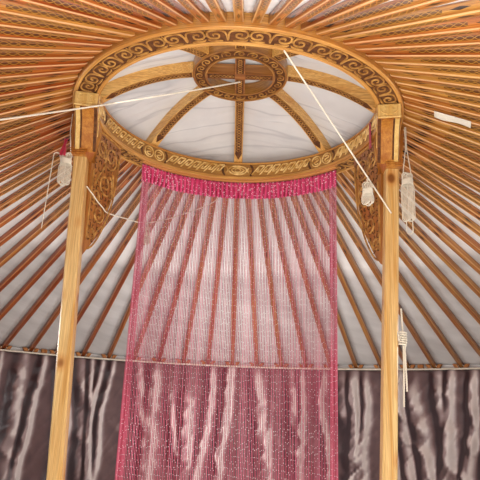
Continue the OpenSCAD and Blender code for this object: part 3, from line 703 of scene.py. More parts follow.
curl = [(-0.030, -0.012), (-0.024, 0.008), (-0.008, 0.017), (0.010, 0.014), (0.018, 0.0), (0.010, -0.012),
        (-0.004, -0.009), (-0.006, 0.002), (0.003, 0.005)]
twist = crossed_waves(0.004, 0.0065, 0.0105, 20)
for name, motif, count, made in (
        ("hub_scrolls", carved([curl], 0.0055, 0.0040, under_hub, 0.004), hub_scrolls, dull_gilt),
        ("cross_inlays", strip(under_bar, 0.138, 0.019, 0.0012), 4, stained),
        ("cross_twists", carved(twist, 0.0040, 0.0030, under_bar, 0.004), 4, dull_gilt)):
    repeated(name, motif, count, 0, 360 / count, made)

# Ribs of the dome
# Eight bent ribs, steam-bent and varnished pale gold on their sides. A dark carved chain runs
# along each underside and ends in an arrowhead above the ring.
rib_count = 8
rib_bend_x = 0.15759
rib_bend_z = 1.83255
rib_bend_r = 0.90337
rib_start = 0.246


def grain_out(tree):
    """Coordinates in metres whose X runs outwards from the middle of the tent."""
    angle, far, height = round_and_out(tree)
    return add(tree, "ShaderNodeCombineXYZ", {0: far, 1: angle, 2: height}).outputs[0]


rib_wood = varnished_wood("varnished_bent_rib", grain_out, "#f0c272", "#d59a48", "#9a6228")
dress("crown_ribs", rib_wood)


def under_rib(s, t, h):
    """s metres along the rib's underside from the hub, t across, h below."""
    a = math.acos((rib_start - rib_bend_x) / rib_bend_r) - s / rib_bend_r
    return (rib_bend_x + (rib_bend_r - h) * math.cos(a), t, rib_bend_z + (rib_bend_r - h) * math.sin(a))


chain = crossed_waves(0.012, 0.0066, 0.0115, 61)
chain += [[(0.012, way * 0.0175), (0.20, way * 0.0175), (0.415, way * 0.0175)] for way in (-1, 1)]
for name, motif, made in (
        ("rib_grounds", strip(under_rib, 0.462, 0.0205, 0.0012, 24, 0.035), stained),
        ("rib_chains", carved(chain, 0.0036, 0.0032, under_rib, 0.006), dull_gilt)):
    repeated(name, motif, rib_count, 0, 360 / rib_count, made)

# Roof poles
# Eighty straight larch poles, planed, with eased edges, varnished orange to golden brown. Each is
# painted near the crown: a pointed dash, a chain and a second dash on its sides and underside.
pole_wide = 0.036
pole_count = 80
pole_edge = 0.0055
pole_pitch = math.atan(pole_slope)
pole_start = 0.8005
pole_end = 2.850


def pole_deep(r):
    return (0.034 + 0.008 * (pole_end - r) / 2.050) / math.cos(pole_pitch)


# Larch under tinted varnish, from deep orange to golden brown from pole to pole, so the roof
# reads as stripes. Streaks of 13 mm and pore lines of 2 mm run along each pole.
larch, tree, face = finish("varnished_larch_pole", Roughness=0.30, Coat_Weight=0.5, Coat_Roughness=0.12)
run = add(tree, "ShaderNodeSeparateXYZ", {0: add(tree, "ShaderNodeUVMap", uv_map="run").outputs[0]})
gone, round_it = run.outputs["X"], run.outputs["Y"]
pick = add(tree, "ShaderNodeAttribute", attribute_name="pick", attribute_type="GEOMETRY")
side = add(tree, "ShaderNodeSeparateXYZ", {0: add(tree, "ShaderNodeTexCoord").outputs["Object"]})
warm = add(tree, "ShaderNodeMapRange",
           {"Value": side.outputs["X"], "From Min": -1.6, "From Max": 1.4, "To Min": 0.15, "To Max": 0.85})
own = add(tree, "ShaderNodeMath", {0: pick.outputs["Fac"], 1: 0.7, 2: -0.35}, operation="MULTIPLY_ADD")
mood = add(tree, "ShaderNodeMath", {0: warm.outputs[0], 1: own.outputs[0]}, operation="ADD", use_clamp=True)
placed = add(tree, "ShaderNodeCombineXYZ", {0: gone, 1: round_it, 2: pick.outputs["Fac"]})
wide = add(tree, "ShaderNodeVectorMath", {0: placed.outputs[0], 1: (1.6, 75, 37)}, operation="MULTIPLY")
streak = add(tree, "ShaderNodeTexNoise",
             {"Vector": wide.outputs[0], "Scale": 1.0, "Detail": 4, "Distortion": 0.4})
thin = add(tree, "ShaderNodeVectorMath", {0: wide.outputs[0], 1: (5, 7, 1)}, operation="MULTIPLY")
line = add(tree, "ShaderNodeTexNoise", {"Vector": thin.outputs[0], "Scale": 1.0, "Detail": 3})
pale = add(tree, "ShaderNodeMix", {"Factor": mood.outputs[0], "A": srgb("#d06c2c"), "B": srgb("#dca450")},
           data_type="RGBA")
deep = add(tree, "ShaderNodeMix", {"Factor": mood.outputs[0], "A": srgb("#8a300c"), "B": srgb("#9c5419")},
           data_type="RGBA")
spread = add(tree, "ShaderNodeMapRange", {"Value": streak.outputs["Fac"], "From Min": 0.36, "From Max": 0.66})
dark = add(tree, "ShaderNodeMapRange",
           {"Value": line.outputs["Fac"], "From Min": 0.6, "From Max": 0.38, "To Max": 0.4})

# The painted line sits on the middle of each side, 37.5 mm round from the underside's middle,
# and on the underside itself.
round_by = add(tree, "ShaderNodeMath", {0: round_it}, operation="ABSOLUTE")
from_side = add(tree, "ShaderNodeMath", {0: round_by.outputs[0], 1: 0.0375}, operation="SUBTRACT")
off_side = add(tree, "ShaderNodeMath", {0: from_side.outputs[0]}, operation="ABSOLUTE")
off = add(tree, "ShaderNodeMath", {0: off_side.outputs[0], 1: round_by.outputs[0]}, operation="MINIMUM")

# The chain: two crossing waves, one link each 34 mm, from 0.20 to 0.56 m along, in gold on a
# dark olive brown ground.
turns_by = add(tree, "ShaderNodeMath", {0: gone, 1: math.tau / 0.068}, operation="MULTIPLY")
swing = add(tree, "ShaderNodeMath", {0: turns_by.outputs[0]}, operation="SINE")
bow = add(tree, "ShaderNodeMath", {0: swing.outputs[0]}, operation="ABSOLUTE")
link = add(tree, "ShaderNodeMath", {0: bow.outputs[0], 1: -0.0075, 2: off.outputs[0]},
           operation="MULTIPLY_ADD")
off_link = add(tree, "ShaderNodeMath", {0: link.outputs[0]}, operation="ABSOLUTE")
near = add(tree, "ShaderNodeMath", {0: off_link.outputs[0], 1: 0.0015}, operation="LESS_THAN")
after = add(tree, "ShaderNodeMath", {0: gone, 1: 0.20}, operation="GREATER_THAN")
before = add(tree, "ShaderNodeMath", {0: gone, 1: 0.56}, operation="LESS_THAN")
within = add(tree, "ShaderNodeMath", {0: after.outputs[0], 1: before.outputs[0]}, operation="MULTIPLY")
chain_mask = add(tree, "ShaderNodeMath", {0: near.outputs[0], 1: within.outputs[0]}, operation="MULTIPLY")
painted = add(tree, "ShaderNodeMath", {0: off.outputs[0], 1: 0.0085}, operation="LESS_THAN")
ground = add(tree, "ShaderNodeMath", {0: painted.outputs[0], 1: within.outputs[0]}, operation="MULTIPLY")
thinned = add(tree, "ShaderNodeMath", {0: ground.outputs[0], 1: 0.75}, operation="MULTIPLY")

# The dashes: leaf shapes 80 mm long and 13 mm wide, before and after the chain.
leaf_long = 0.080
leaf_wide = 0.013
leaves = []
for middle in (0.105, 0.625):
    away = add(tree, "ShaderNodeMath", {0: gone, 1: middle}, operation="SUBTRACT")
    apart = add(tree, "ShaderNodeMath", {0: away.outputs[0]}, operation="ABSOLUTE")
    share = add(tree, "ShaderNodeMath", {0: apart.outputs[0], 1: -leaf_wide / leaf_long, 2: leaf_wide / 2},
                operation="MULTIPLY_ADD")
    leaves.append(add(tree, "ShaderNodeMath", {0: off.outputs[0], 1: share.outputs[0]},
                      operation="LESS_THAN"))
leaf = add(tree, "ShaderNodeMath", {0: leaves[0].outputs[0], 1: leaves[1].outputs[0]}, operation="MAXIMUM")

# The eased edges, 12 to 21 mm round from the underside's middle, carry a pale painted highlight, weaker
# towards the back, and the poles at the back are darkened with a painted shade.
from_edge = add(tree, "ShaderNodeMath", {0: round_by.outputs[0], 1: 0.0165}, operation="SUBTRACT")
off_edge = add(tree, "ShaderNodeMath", {0: from_edge.outputs[0]}, operation="ABSOLUTE")
edge_highlight = add(tree, "ShaderNodeMapRange",
             {"Value": off_edge.outputs[0], "From Min": 0.0042, "From Max": 0.0022, "To Max": 0.62})
to_back = add(tree, "ShaderNodeMapRange", {"Value": side.outputs["Y"], "From Min": 0.3, "From Max": 1.3})
highlight_toward_back = add(tree, "ShaderNodeMath", {0: to_back.outputs[0], 1: -0.75, 2: 1.0}, operation="MULTIPLY_ADD")
edge_highlight_here = add(tree, "ShaderNodeMath", {0: edge_highlight.outputs[0], 1: highlight_toward_back.outputs[0]}, operation="MULTIPLY")
# Painted shade: the poles grow darker towards the back.
back_shade = add(tree, "ShaderNodeMath", {0: to_back.outputs[0], 1: 0.45}, operation="MULTIPLY")

# The coats in the order in which they lie: varnish, pores, ground, chain, dashes, painted shade at the back,
# painted edge highlight.
coat = deep
for share, colour in ((spread, pale.outputs["Result"]), (dark, srgb("#5a2a10")), (thinned, srgb("#3c2210")),
                      (chain_mask, srgb("#b98436")), (leaf, srgb("#2c160a")), (back_shade, srgb("#6a3418")),
                      (edge_highlight_here, srgb("#f3c893"))):
    coat = add(tree, "ShaderNodeMix", {"Factor": share.outputs[0], "A": coat.outputs["Result"], "B": colour},
               data_type="RGBA")
rise = add(tree, "ShaderNodeBump", {"Height": streak.outputs["Fac"], "Strength": 0.2, "Distance": 0.0008})
join(face, {"Base Color": coat.outputs["Result"], "Normal": rise.outputs[0]})

pole_points = []
walks = []
stations = (pole_start, 0.812, 1.10, 1.50, 2.00, 2.45, 2.838, pole_end)
for r in stations:
    deep_z = pole_deep(r)
    half = pole_wide / 2
    ease = 0.3 * pole_edge
    shrink = 1 - 0.003 / half if r in (pole_start, pole_end) else 1.0
    outline = [(0, 0), (half - pole_edge, 0), (half - ease, ease), (half, pole_edge),
               (half, deep_z - pole_edge), (half - ease, deep_z - ease), (half - pole_edge, deep_z),
               (pole_edge - half, deep_z), (ease - half, deep_z - ease), (-half, deep_z - pole_edge),
               (-half, pole_edge), (ease - half, ease), (pole_edge - half, 0)]
    outline = [(x * shrink, deep_z / 2 + (z - deep_z / 2) * shrink) for x, z in outline]
    walks.append(run_of(outline + outline[:1]))
    pole_points += [(r, x, under_pole(r) + z) for x, z in outline]
pole_sides = 13
pole_marks = [(0, 0.08)] * pole_sides + [(2.05, 0.08)] * pole_sides
for k in range(len(stations) - 1):
    for i in range(pole_sides):
        for j, q in ((k, i), (k, i + 1), (k + 1, i + 1), (k + 1, i)):
            walk = walks[j]
            far = walk[q] if walk[i] + walk[i + 1] < walk[-1] else walk[q] - walk[-1]
            pole_marks.append((stations[j] - pole_start, far))
pole = (pole_points, tube_faces(pole_sides, len(stations) - 1), pole_marks)
for name, centre, seed in (("right", 0, 3), ("back", 90, 5), ("left", 180, 8), ("front", 270, 13)):
    poles = repeated("larch_poles_" + name, pole, pole_count // 4, centre - 45, 360 / pole_count, larch, seed)
    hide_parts("roof_poles_" + name)

# Posts
# Two square posts of planed pine with chamfered edges, leaning slightly out, waxed but not
# stained. Brown knots and long growth rings show on their faces.


def grain_up(tree):
    """Coordinates in metres whose X runs up."""
    spot = add(tree, "ShaderNodeSeparateXYZ", {0: add(tree, "ShaderNodeTexCoord").outputs["Object"]})
    turned_up = {0: spot.outputs["Z"], 1: spot.outputs["X"], 2: spot.outputs["Y"]}
    return add(tree, "ShaderNodeCombineXYZ", turned_up).outputs[0]


# Knots are 12 to 25 mm across, a few hand spans apart, with a darker eye and a tan halo.
pine = varnished_wood("waxed_pine_post", grain_up, "#f2d496", "#d4a055", "#a3743c", 0.36, 0.3, 1.3)
tree = pine.node_tree
face = tree.nodes["Principled BSDF"]
spot = add(tree, "ShaderNodeVectorMath", {0: grain_up(tree), 1: (6.4, 9.0, 9.0)}, operation="MULTIPLY")
cell = add(tree, "ShaderNodeTexVoronoi", {"Vector": spot.outputs[0], "Scale": 1.0, "Randomness": 1.0})
shown = face.inputs["Base Color"].links[0].from_socket
for low, high, most, shade in ((0.34, 0.14, 0.75, "#c07c34"), (0.20, 0.11, 0.85, "#6e3a14")):
    share = add(tree, "ShaderNodeMapRange",
                {"Value": cell.outputs["Distance"], "From Min": low, "From Max": high, "To Max": most})
    shown = add(tree, "ShaderNodeMix", {"Factor": share.outputs[0], "A": shown, "B": srgb(shade)},
                data_type="RGBA").outputs["Result"]
join(face, {"Base Color": shown})
dress("post_left", pine)
dress("post_right", pine)

# Capitals and brackets
# Each post ends in a carved capital: a flared core and a corbel towards the doorway under the
# ring. Behind it a carved board sweeps from the ring down to the post. All are varnished.
capital_wood = varnished_wood("varnished_capital", grain_up, "#d2923e", "#a8621f", "#7a3f14", 0.32, 0.45, 1.5)
bracket_wood = varnished_wood("varnished_bracket_board", grain_up, "#c07f36", "#94541c", "#5e2f10", 0.36,
                              coarse=1.2)
pale_block = varnished_wood("pale_corbel_end", grain_up, "#efd28a", "#dcb060", "#b5813a", 0.36, 0.3, 1.3)
seat_height = 2.4467
corbel_turn = math.radians(11.5019)
corbel_end = 0.2902
bracket_turn = math.radians(17.3476)
board_face = 0.0171


def on_corbel(way, e, u, h):
    """A point on the corbel: e across it towards the wall, u out to its end, h above the ring's underside."""
    c, s = math.cos(corbel_turn), math.sin(corbel_turn)
    return (way * (band_middle + e * c - u * s), -e * s - u * c, seat_height + h)


def corbel_face(q):
    """The corbel's curved underside at the share q of its way out, as (u, h)."""
    a, b, c, d = (1 - q) ** 3, 3 * q * (1 - q) ** 2, 3 * q * q * (1 - q), q ** 3
    return (0.040 * a + 0.1218 * b + 0.145 * c + 0.290 * d,
            -0.182 * a - 0.15244 * b - 0.066 * c - 0.066 * d)


def bent_band(way, e0, e1, stand):
    """Points of a band from e0 to e1 across the corbel's underside, standing off it by stand."""
    points = []
    for q in np.linspace(0.02, 0.97, 25):
        (u0, h0), (u1, h1) = corbel_face(q - 0.01), corbel_face(q + 0.01)
        u, h = corbel_face(q)
        size = math.hypot(u1 - u0, h1 - h0)
        for e, lift in ((e0, -0.0008), (e0, stand * 0.6), (e0 + 0.002, stand), (e1 - 0.002, stand),
                        (e1, stand * 0.6), (e1, -0.0008)):
            points.append(on_corbel(way, e, u + (h1 - h0) / size * lift, h + (u0 - u1) / size * lift))
    return points


def on_board(way, u, d, h):
    """A point on the board's inner face: u back along the ring, d down from it, h in towards the middle."""
    c, s = math.cos(bracket_turn), math.sin(bracket_turn)
    return (way * (band_middle - u * s - (board_face + h) * c), u * c - (board_face + h) * s, seat_height - d)


def rolled(u, d, big, small, begin, turns, count=26):
    """A scroll round (u, d) that winds in from the radius big to small."""
    line = []
    for k in range(count + 1):
        r = big + (small - big) * k / count
        a = math.radians(begin + 360 * turns * k / count)
        line.append((u + r * math.cos(a), d + r * math.sin(a)))
    return line


leafy = [[(x * 0.004, -0.055), (x * 0.020, -0.048), (x * 0.038, -0.034), (x * 0.038, -0.016),
          (x * 0.022, -0.012), (x * 0.016, -0.024), (x * 0.026, -0.030)] for x in (-1, 1)]
leafy += [[(0.0, -0.052), (0.0, -0.030), (0.0, -0.010)], [(-0.046, -0.006), (0.0, -0.0075), (0.046, -0.006)]]
cheek_scrolls = [
    [(0.275, -0.050), (0.250, -0.022), (0.205, -0.016), (0.165, -0.030), (0.150, -0.055), (0.168, -0.070),
     (0.190, -0.062), (0.188, -0.046), (0.174, -0.046)],
    [(0.135, -0.020), (0.110, -0.040), (0.100, -0.080), (0.085, -0.120)],
    [(0.280, -0.010), (0.180, -0.0075), (0.070, -0.010)],
]
board_scrolls = [
    [(0.300, 0.016), (0.180, 0.013), (0.080, 0.016)],
    [(0.298, 0.070), (0.296, 0.150), (0.284, 0.260), (0.262, 0.360), (0.226, 0.450), (0.178, 0.540),
     (0.124, 0.610), (0.080, 0.642)],
    [(0.066, 0.230), (0.062, 0.420), (0.064, 0.600)],
    rolled(0.215, 0.110, 0.075, 0.018, 200, -1.6),
    rolled(0.120, 0.095, 0.050, 0.014, 20, 1.5),
    rolled(0.185, 0.270, 0.070, 0.018, 300, 1.5),
    rolled(0.105, 0.360, 0.042, 0.012, 120, -1.4),
    rolled(0.150, 0.440, 0.050, 0.014, 330, 1.4),
    rolled(0.098, 0.550, 0.034, 0.010, 150, -1.3),
    [(0.145, 0.055), (0.165, 0.160), (0.120, 0.240), (0.090, 0.300)],
    [(0.250, 0.190), (0.262, 0.260), (0.240, 0.360), (0.190, 0.420)],
    [(0.190, 0.490), (0.150, 0.530), (0.125, 0.580)],
]
leaf_chance = np.random.default_rng(11)
small_leaves = []
for d in np.arange(0.040, 0.600, 0.034):
    reach = float(np.interp(d, (0.0, 0.15, 0.30, 0.45, 0.60), (0.285, 0.280, 0.262, 0.215, 0.120)))
    for u in np.arange(0.078, reach, 0.040):
        a = leaf_chance.uniform(0, math.tau)
        big = leaf_chance.uniform(0.010, 0.016)
        small_leaves.append([(u + big * math.cos(a + b) * (1 - 0.10 * b),
                              d + big * math.sin(a + b) * (1 - 0.10 * b)) for b in np.linspace(0, 4.2, 9)])

for side_name, way in (("left", -1), ("right", 1)):
    dress("capital_" + side_name, capital_wood)
    dress("bracket_" + side_name, bracket_wood)

    # The corbel's end is a paler block with a leaf scroll, and a rounded bead under it.
    block = [on_corbel(way, e, u, h) for u in (corbel_end, corbel_end + 0.003)
             for e, h in ((-0.051, -0.064), (0.051, -0.064), (0.051, -0.003), (-0.051, -0.003))]
    piece("corbel_end_" + side_name, block, tube_faces(4, 1), pale_block)
    leaf_work = carved(leafy, 0.0052, 0.0030, lambda s, t, h: on_corbel(way, s, 0.2930 + h, t), 0.004)
    piece("corbel_leaf_" + side_name, *leaf_work, pale_block)
    bead_line = np.array([on_corbel(way, e, 0.2925, -0.0655) for e in np.linspace(-0.052, 0.052, 12)])
    swept("corbel_bead_" + side_name, bead_line, 0.010, pale_block, 10, 0)

    # Below the bead the corbel's face curves in to the core: a tongue stands between two sunk grooves, with a
    # strip in the pale wood on the side towards the wall, a painted highlight.
    for label, e0, e1, stand, made in (("groove", -0.0505, 0.0505, 0.0008, stained),
                                       ("tongue", -0.036, 0.018, 0.0060, capital_wood),
                                       ("strip", 0.026, 0.0465, 0.0045, pale_block)):
        band = bent_band(way, e0, e1, stand)
        piece("corbel_%s_%s" % (label, side_name), band, tube_faces(6, 24), made)

    # Three reeds across the core's face, below the corbel.
    for k, z in enumerate((2.2485, 2.2600, 2.2715)):
        reach = 0.0405 + 0.0007 * k
        x_middle = 0.668 + 0.04045 * z
        reed = np.array([(way * (x_middle + e), -0.0602, z)
                         for e in np.linspace(-reach + 0.004, reach - 0.002, 8)])
        swept("capital_reed_%s_%d" % (side_name, k + 1), reed, 0.0085, capital_wood, 8, 0)

    # Scrolls on the corbel's two cheeks.
    for cheek, e, off in (("inner", -0.0520, -1), ("outer", 0.0520, 1)):
        scrolls = carved(cheek_scrolls, 0.0070, 0.0030, lambda s, t, h: on_corbel(way, e + off * h, s, t))
        piece("corbel_%s_scroll_%s" % (cheek, side_name), *scrolls, gilt)

    # The bracket's board: small worn leaves fill the ground between its large scrolls.
    leaves = carved(small_leaves, 0.0052, 0.0032, lambda s, t, h: on_board(way, s, t, h))
    piece("bracket_leaves_" + side_name, *leaves, stained)
    scrolls = carved(board_scrolls, 0.0105, 0.0050, lambda s, t, h: on_board(way, s, t, h), 0.006)
    piece("bracket_scrolls_" + side_name, *scrolls, dull_gilt)

# Door frame and leaf
# A painted timber frame stands in a gap of the lattice, its leaf folded back on pin hinges. The
# paint is orange-red gloss with a gold key line; the leaf has two sunk panels between mouldings.
leaf_front = -2.8817
lintel_front = -2.8457
door_paint, tree, face = finish("orange_gloss_paint", Roughness=0.36, Coat_Weight=0.3, Coat_Roughness=0.2)
place = add(tree, "ShaderNodeVectorMath", {0: grain_up(tree), 1: (5, 160, 160)}, operation="MULTIPLY")
brush = add(tree, "ShaderNodeTexNoise", {"Vector": place.outputs[0], "Scale": 1.0, "Detail": 3})
here = add(tree, "ShaderNodeTexCoord").outputs["Object"]
fade = add(tree, "ShaderNodeTexNoise", {"Vector": here, "Scale": 3.5, "Detail": 4})
body = add(tree, "ShaderNodeMix", {"Factor": fade.outputs["Fac"], "A": srgb("#a8401a"), "B": srgb("#cf6426")},
           data_type="RGBA")
thin = add(tree, "ShaderNodeMapRange",
           {"Value": brush.outputs["Fac"], "From Min": 0.6, "From Max": 0.42, "To Max": 0.22})
coat = add(tree, "ShaderNodeMix",
           {"Factor": thin.outputs[0], "A": body.outputs["Result"], "B": srgb("#7a2c12")}, data_type="RGBA")
rise = add(tree, "ShaderNodeBump", {"Height": brush.outputs["Fac"], "Strength": 0.3, "Distance": 0.0005})
join(face, {"Base Color": coat.outputs["Result"], "Normal": rise.outputs[0]})
for node in ("door_jamb_left", "door_jamb_right", "door_lintel", "door_threshold", "door_leaf"):
    dress(node, door_paint)

# Ochre line paint: gold-brown with a low shine, laid on thinly by hand, so that it is uneven.
key_paint = mottled("ochre_line_paint", "#c98a2a", "#efc560", 30, 3, Roughness=0.4)


def moulding(name, x0, x1, z0, z1, deep, wide, made):
    """A mitred moulding round a panel of the leaf, standing deep towards the front."""
    rings = ((0, 0), (0, 0.55), (0.25, 1.0), (0.65, 1.0), (1.0, 0.35), (1.0, 0))
    points = []
    for inset, rise in rings:
        w, y = inset * wide, leaf_front - rise * deep
        points += [(x0 + w, y, z0 + w), (x1 - w, y, z0 + w), (x1 - w, y, z1 - w), (x0 + w, y, z1 - w)]
    return piece(name, points, tube_faces(4, len(rings), ends=False), made)


for label, z0, z1 in (("upper", 0.800, 1.320), ("lower", 0.165, 0.700)):
    moulding("leaf_moulding_" + label, 0.535, 1.265, z0, z1, 0.0075, 0.036, door_paint)
    moulding("leaf_line_" + label, 0.590, 1.210, z0 + 0.055, z1 - 0.055, 0.0020, 0.006, key_paint)
    middle = (z0 + z1) / 2
    lozenge = [[(0.0, 0.13), (x * 0.10, 0.0), (0.0, -0.13)] for x in (-1, 1)]
    lozenge += [[(x * 0.20, 0.0), (x * 0.10, 0.085), (0.0, 0.0), (x * 0.10, -0.085), (x * 0.20, 0.0)]
                for x in (-1, 1)]
    lozenge += [round_line(0, 0, 0.045, 0.045), [(-0.24, 0.0), (-0.20, 0.0)], [(0.20, 0.0), (0.24, 0.0)]]
    panel_knot = carved(lozenge, 0.009, 0.0025,
                        lambda s, t, h: (0.900 + s, leaf_front - h, middle + t), 0.008, 0.6)
    piece("leaf_knot_" + label, *panel_knot, key_paint)

# Forged iron pull: a ring on a round plate, dark and slightly rough.
iron = mottled("forged_iron_pull", "#38322e", "#6d655d", 240, 3, Metallic=1.0, Roughness=0.45)
pull_x = 1.296
pull_z = 0.750
plate_r = 0.034
pull_r = 0.024
plate_sides = 32
plate = []
for share, stand in ((1, 0), (1, 0.0025), (0.8, 0.0045)):
    for k in range(plate_sides):
        a = math.tau * k / plate_sides
        plate.append((pull_x + share * plate_r * math.cos(a), leaf_front - stand,
                      pull_z + share * plate_r * math.sin(a)))
pull_line = np.array([(pull_x + pull_r * math.sin(a), leaf_front - 0.0085 - 0.002 * math.cos(a),
                       pull_z - 0.002 - pull_r * (1 - math.cos(a))) for a in np.linspace(0, math.tau, 41)])
piece("leaf_pull_plate", plate, tube_faces(plate_sides, 2), iron)
swept("leaf_pull_ring", pull_line, 0.0062, iron, 10, 0)

# A gold key line runs along the lintel.
lintel_pitch = 0.0932
lintel_stroke = [(0.0, -0.024), (0.0, 0.024), (0.064, 0.024), (0.064, -0.008), (0.030, -0.008),
                 (0.030, 0.008)]
lintel_key = [sharp([(-0.5125 + lintel_pitch * k + s, t) for s, t in lintel_stroke], 0.1) for k in range(11)]
lintel_work = carved(lintel_key, 0.0085, 0.0022, lambda s, t, h: (s, lintel_front - h, 1.446 + t), 0.007, 0.5)
piece("lintel_key", *lintel_work, key_paint)

# Lattice wall
# Five folding lattices of split willow laths, crossed and laced with hide, tied edge to edge
# round the tent. They stand between the satin curtain and the felt, with their heads showing.
willow = varnished_wood("willow_lattice_lath", grain_up, "#c98a4e", "#a8652e", "#6d3d18", 0.55, 0.1, 1.5)
for k in range(5):
    dress("lattice_%d" % (k + 1), willow)

# Satin curtain
# Four lengths of grey-mauve satin hang along the inside of the wall from a cord, from just
# under the poles' feet to the floor. The cloth is gathered, so it falls in soft, broken folds.
curtain_outer = 2.7965
curtain_deep = 0.0485
curtain_low = 0.027
curtain_drop = 1.461
curtain_middle = 2.77
satin_thick = 0.0018
door_side = math.radians(11.2313)


def shell(name, front, rear, made, cut=None, angle=180):
    """A closed thin piece between two grids of points, front and rear. cut gives each point its place on the
    cloth."""
    rows, columns = front.shape[:2]
    n = rows * columns
    grid = np.arange(n).reshape(rows, columns)
    quads = np.stack([grid[:-1, :-1], grid[:-1, 1:], grid[1:, 1:], grid[1:, :-1]], axis=-1).reshape(-1, 4)
    border = np.concatenate([grid[0, :-1], grid[:-1, -1], grid[-1, :0:-1], grid[:0:-1, 0]])
    following = np.roll(border, -1)
    sides = np.stack([following, border, border + n, following + n], axis=1)
    every = np.concatenate([quads, quads[:, ::-1] + n, sides])
    corners = None if cut is None else cut.reshape(-1, 2)[every.ravel() % n]
    points = np.concatenate([front.reshape(-1, 3), rear.reshape(-1, 3)])
    return piece(name, points, every.tolist(), made, angle, corners)


def grids(rows, columns):
    """Room for the front, the rear and the cut places of a cloth, row by row."""
    return np.zeros((rows, columns, 3)), np.zeros((rows, columns, 3)), np.zeros((rows, columns, 2))


def ruffle(x, y, z):
    """Smooth unevenness between about -0.7 and 0.7."""
    return noise.noise(Vector((x, y, z)))


def between(value, low, high):
    return max(low, min(high, value))


# Satin: a smooth, fairly glossy weave, mauve-grey. Its colour carries painted light: painted shade in its
# dips and a nearly white painted highlight on one flank of each fold. Fine cross threads, drawn 1.5 mm apart.
satin, tree, face = finish("mauve_grey_satin", Roughness=0.34, Metallic=0.12, Sheen_Weight=0.2,
                           Sheen_Roughness=0.3, Anisotropic=0.5, Specular_IOR_Level=0.8)
spot = add(tree, "ShaderNodeUVMap", uv_map="run").outputs[0]
painted_fold_node = add(tree, "ShaderNodeAttribute", attribute_name="painted_fold_light", attribute_type="GEOMETRY")
cloud = add(tree, "ShaderNodeTexNoise", {"Vector": spot, "Scale": 14, "Detail": 3})
cloud_and_painted_light = add(tree, "ShaderNodeMath", {0: cloud.outputs["Fac"], 1: 0.16, 2: painted_fold_node.outputs["Fac"]},
             operation="MULTIPLY_ADD")
tone = add(tree, "ShaderNodeValToRGB", {"Fac": cloud_and_painted_light.outputs[0]})
tone.color_ramp.elements[0].position = 0.20
tone.color_ramp.elements[0].color = srgb("#35242a")
tone.color_ramp.elements[1].color = srgb("#e9dfdc")
for stop, shade in ((0.48, "#6a5253"), (0.74, "#a39090")):
    tone.color_ramp.elements.new(stop).color = srgb(shade)
threads = add(tree, "ShaderNodeTexWave", {"Vector": spot, "Scale": 210, "Distortion": 0.5},
              bands_direction="Y")
rise = add(tree, "ShaderNodeBump", {"Height": threads.outputs["Fac"], "Strength": 0.06, "Distance": 0.0003})
join(face, {"Base Color": tone.outputs["Color"], "Normal": rise.outputs[0]})

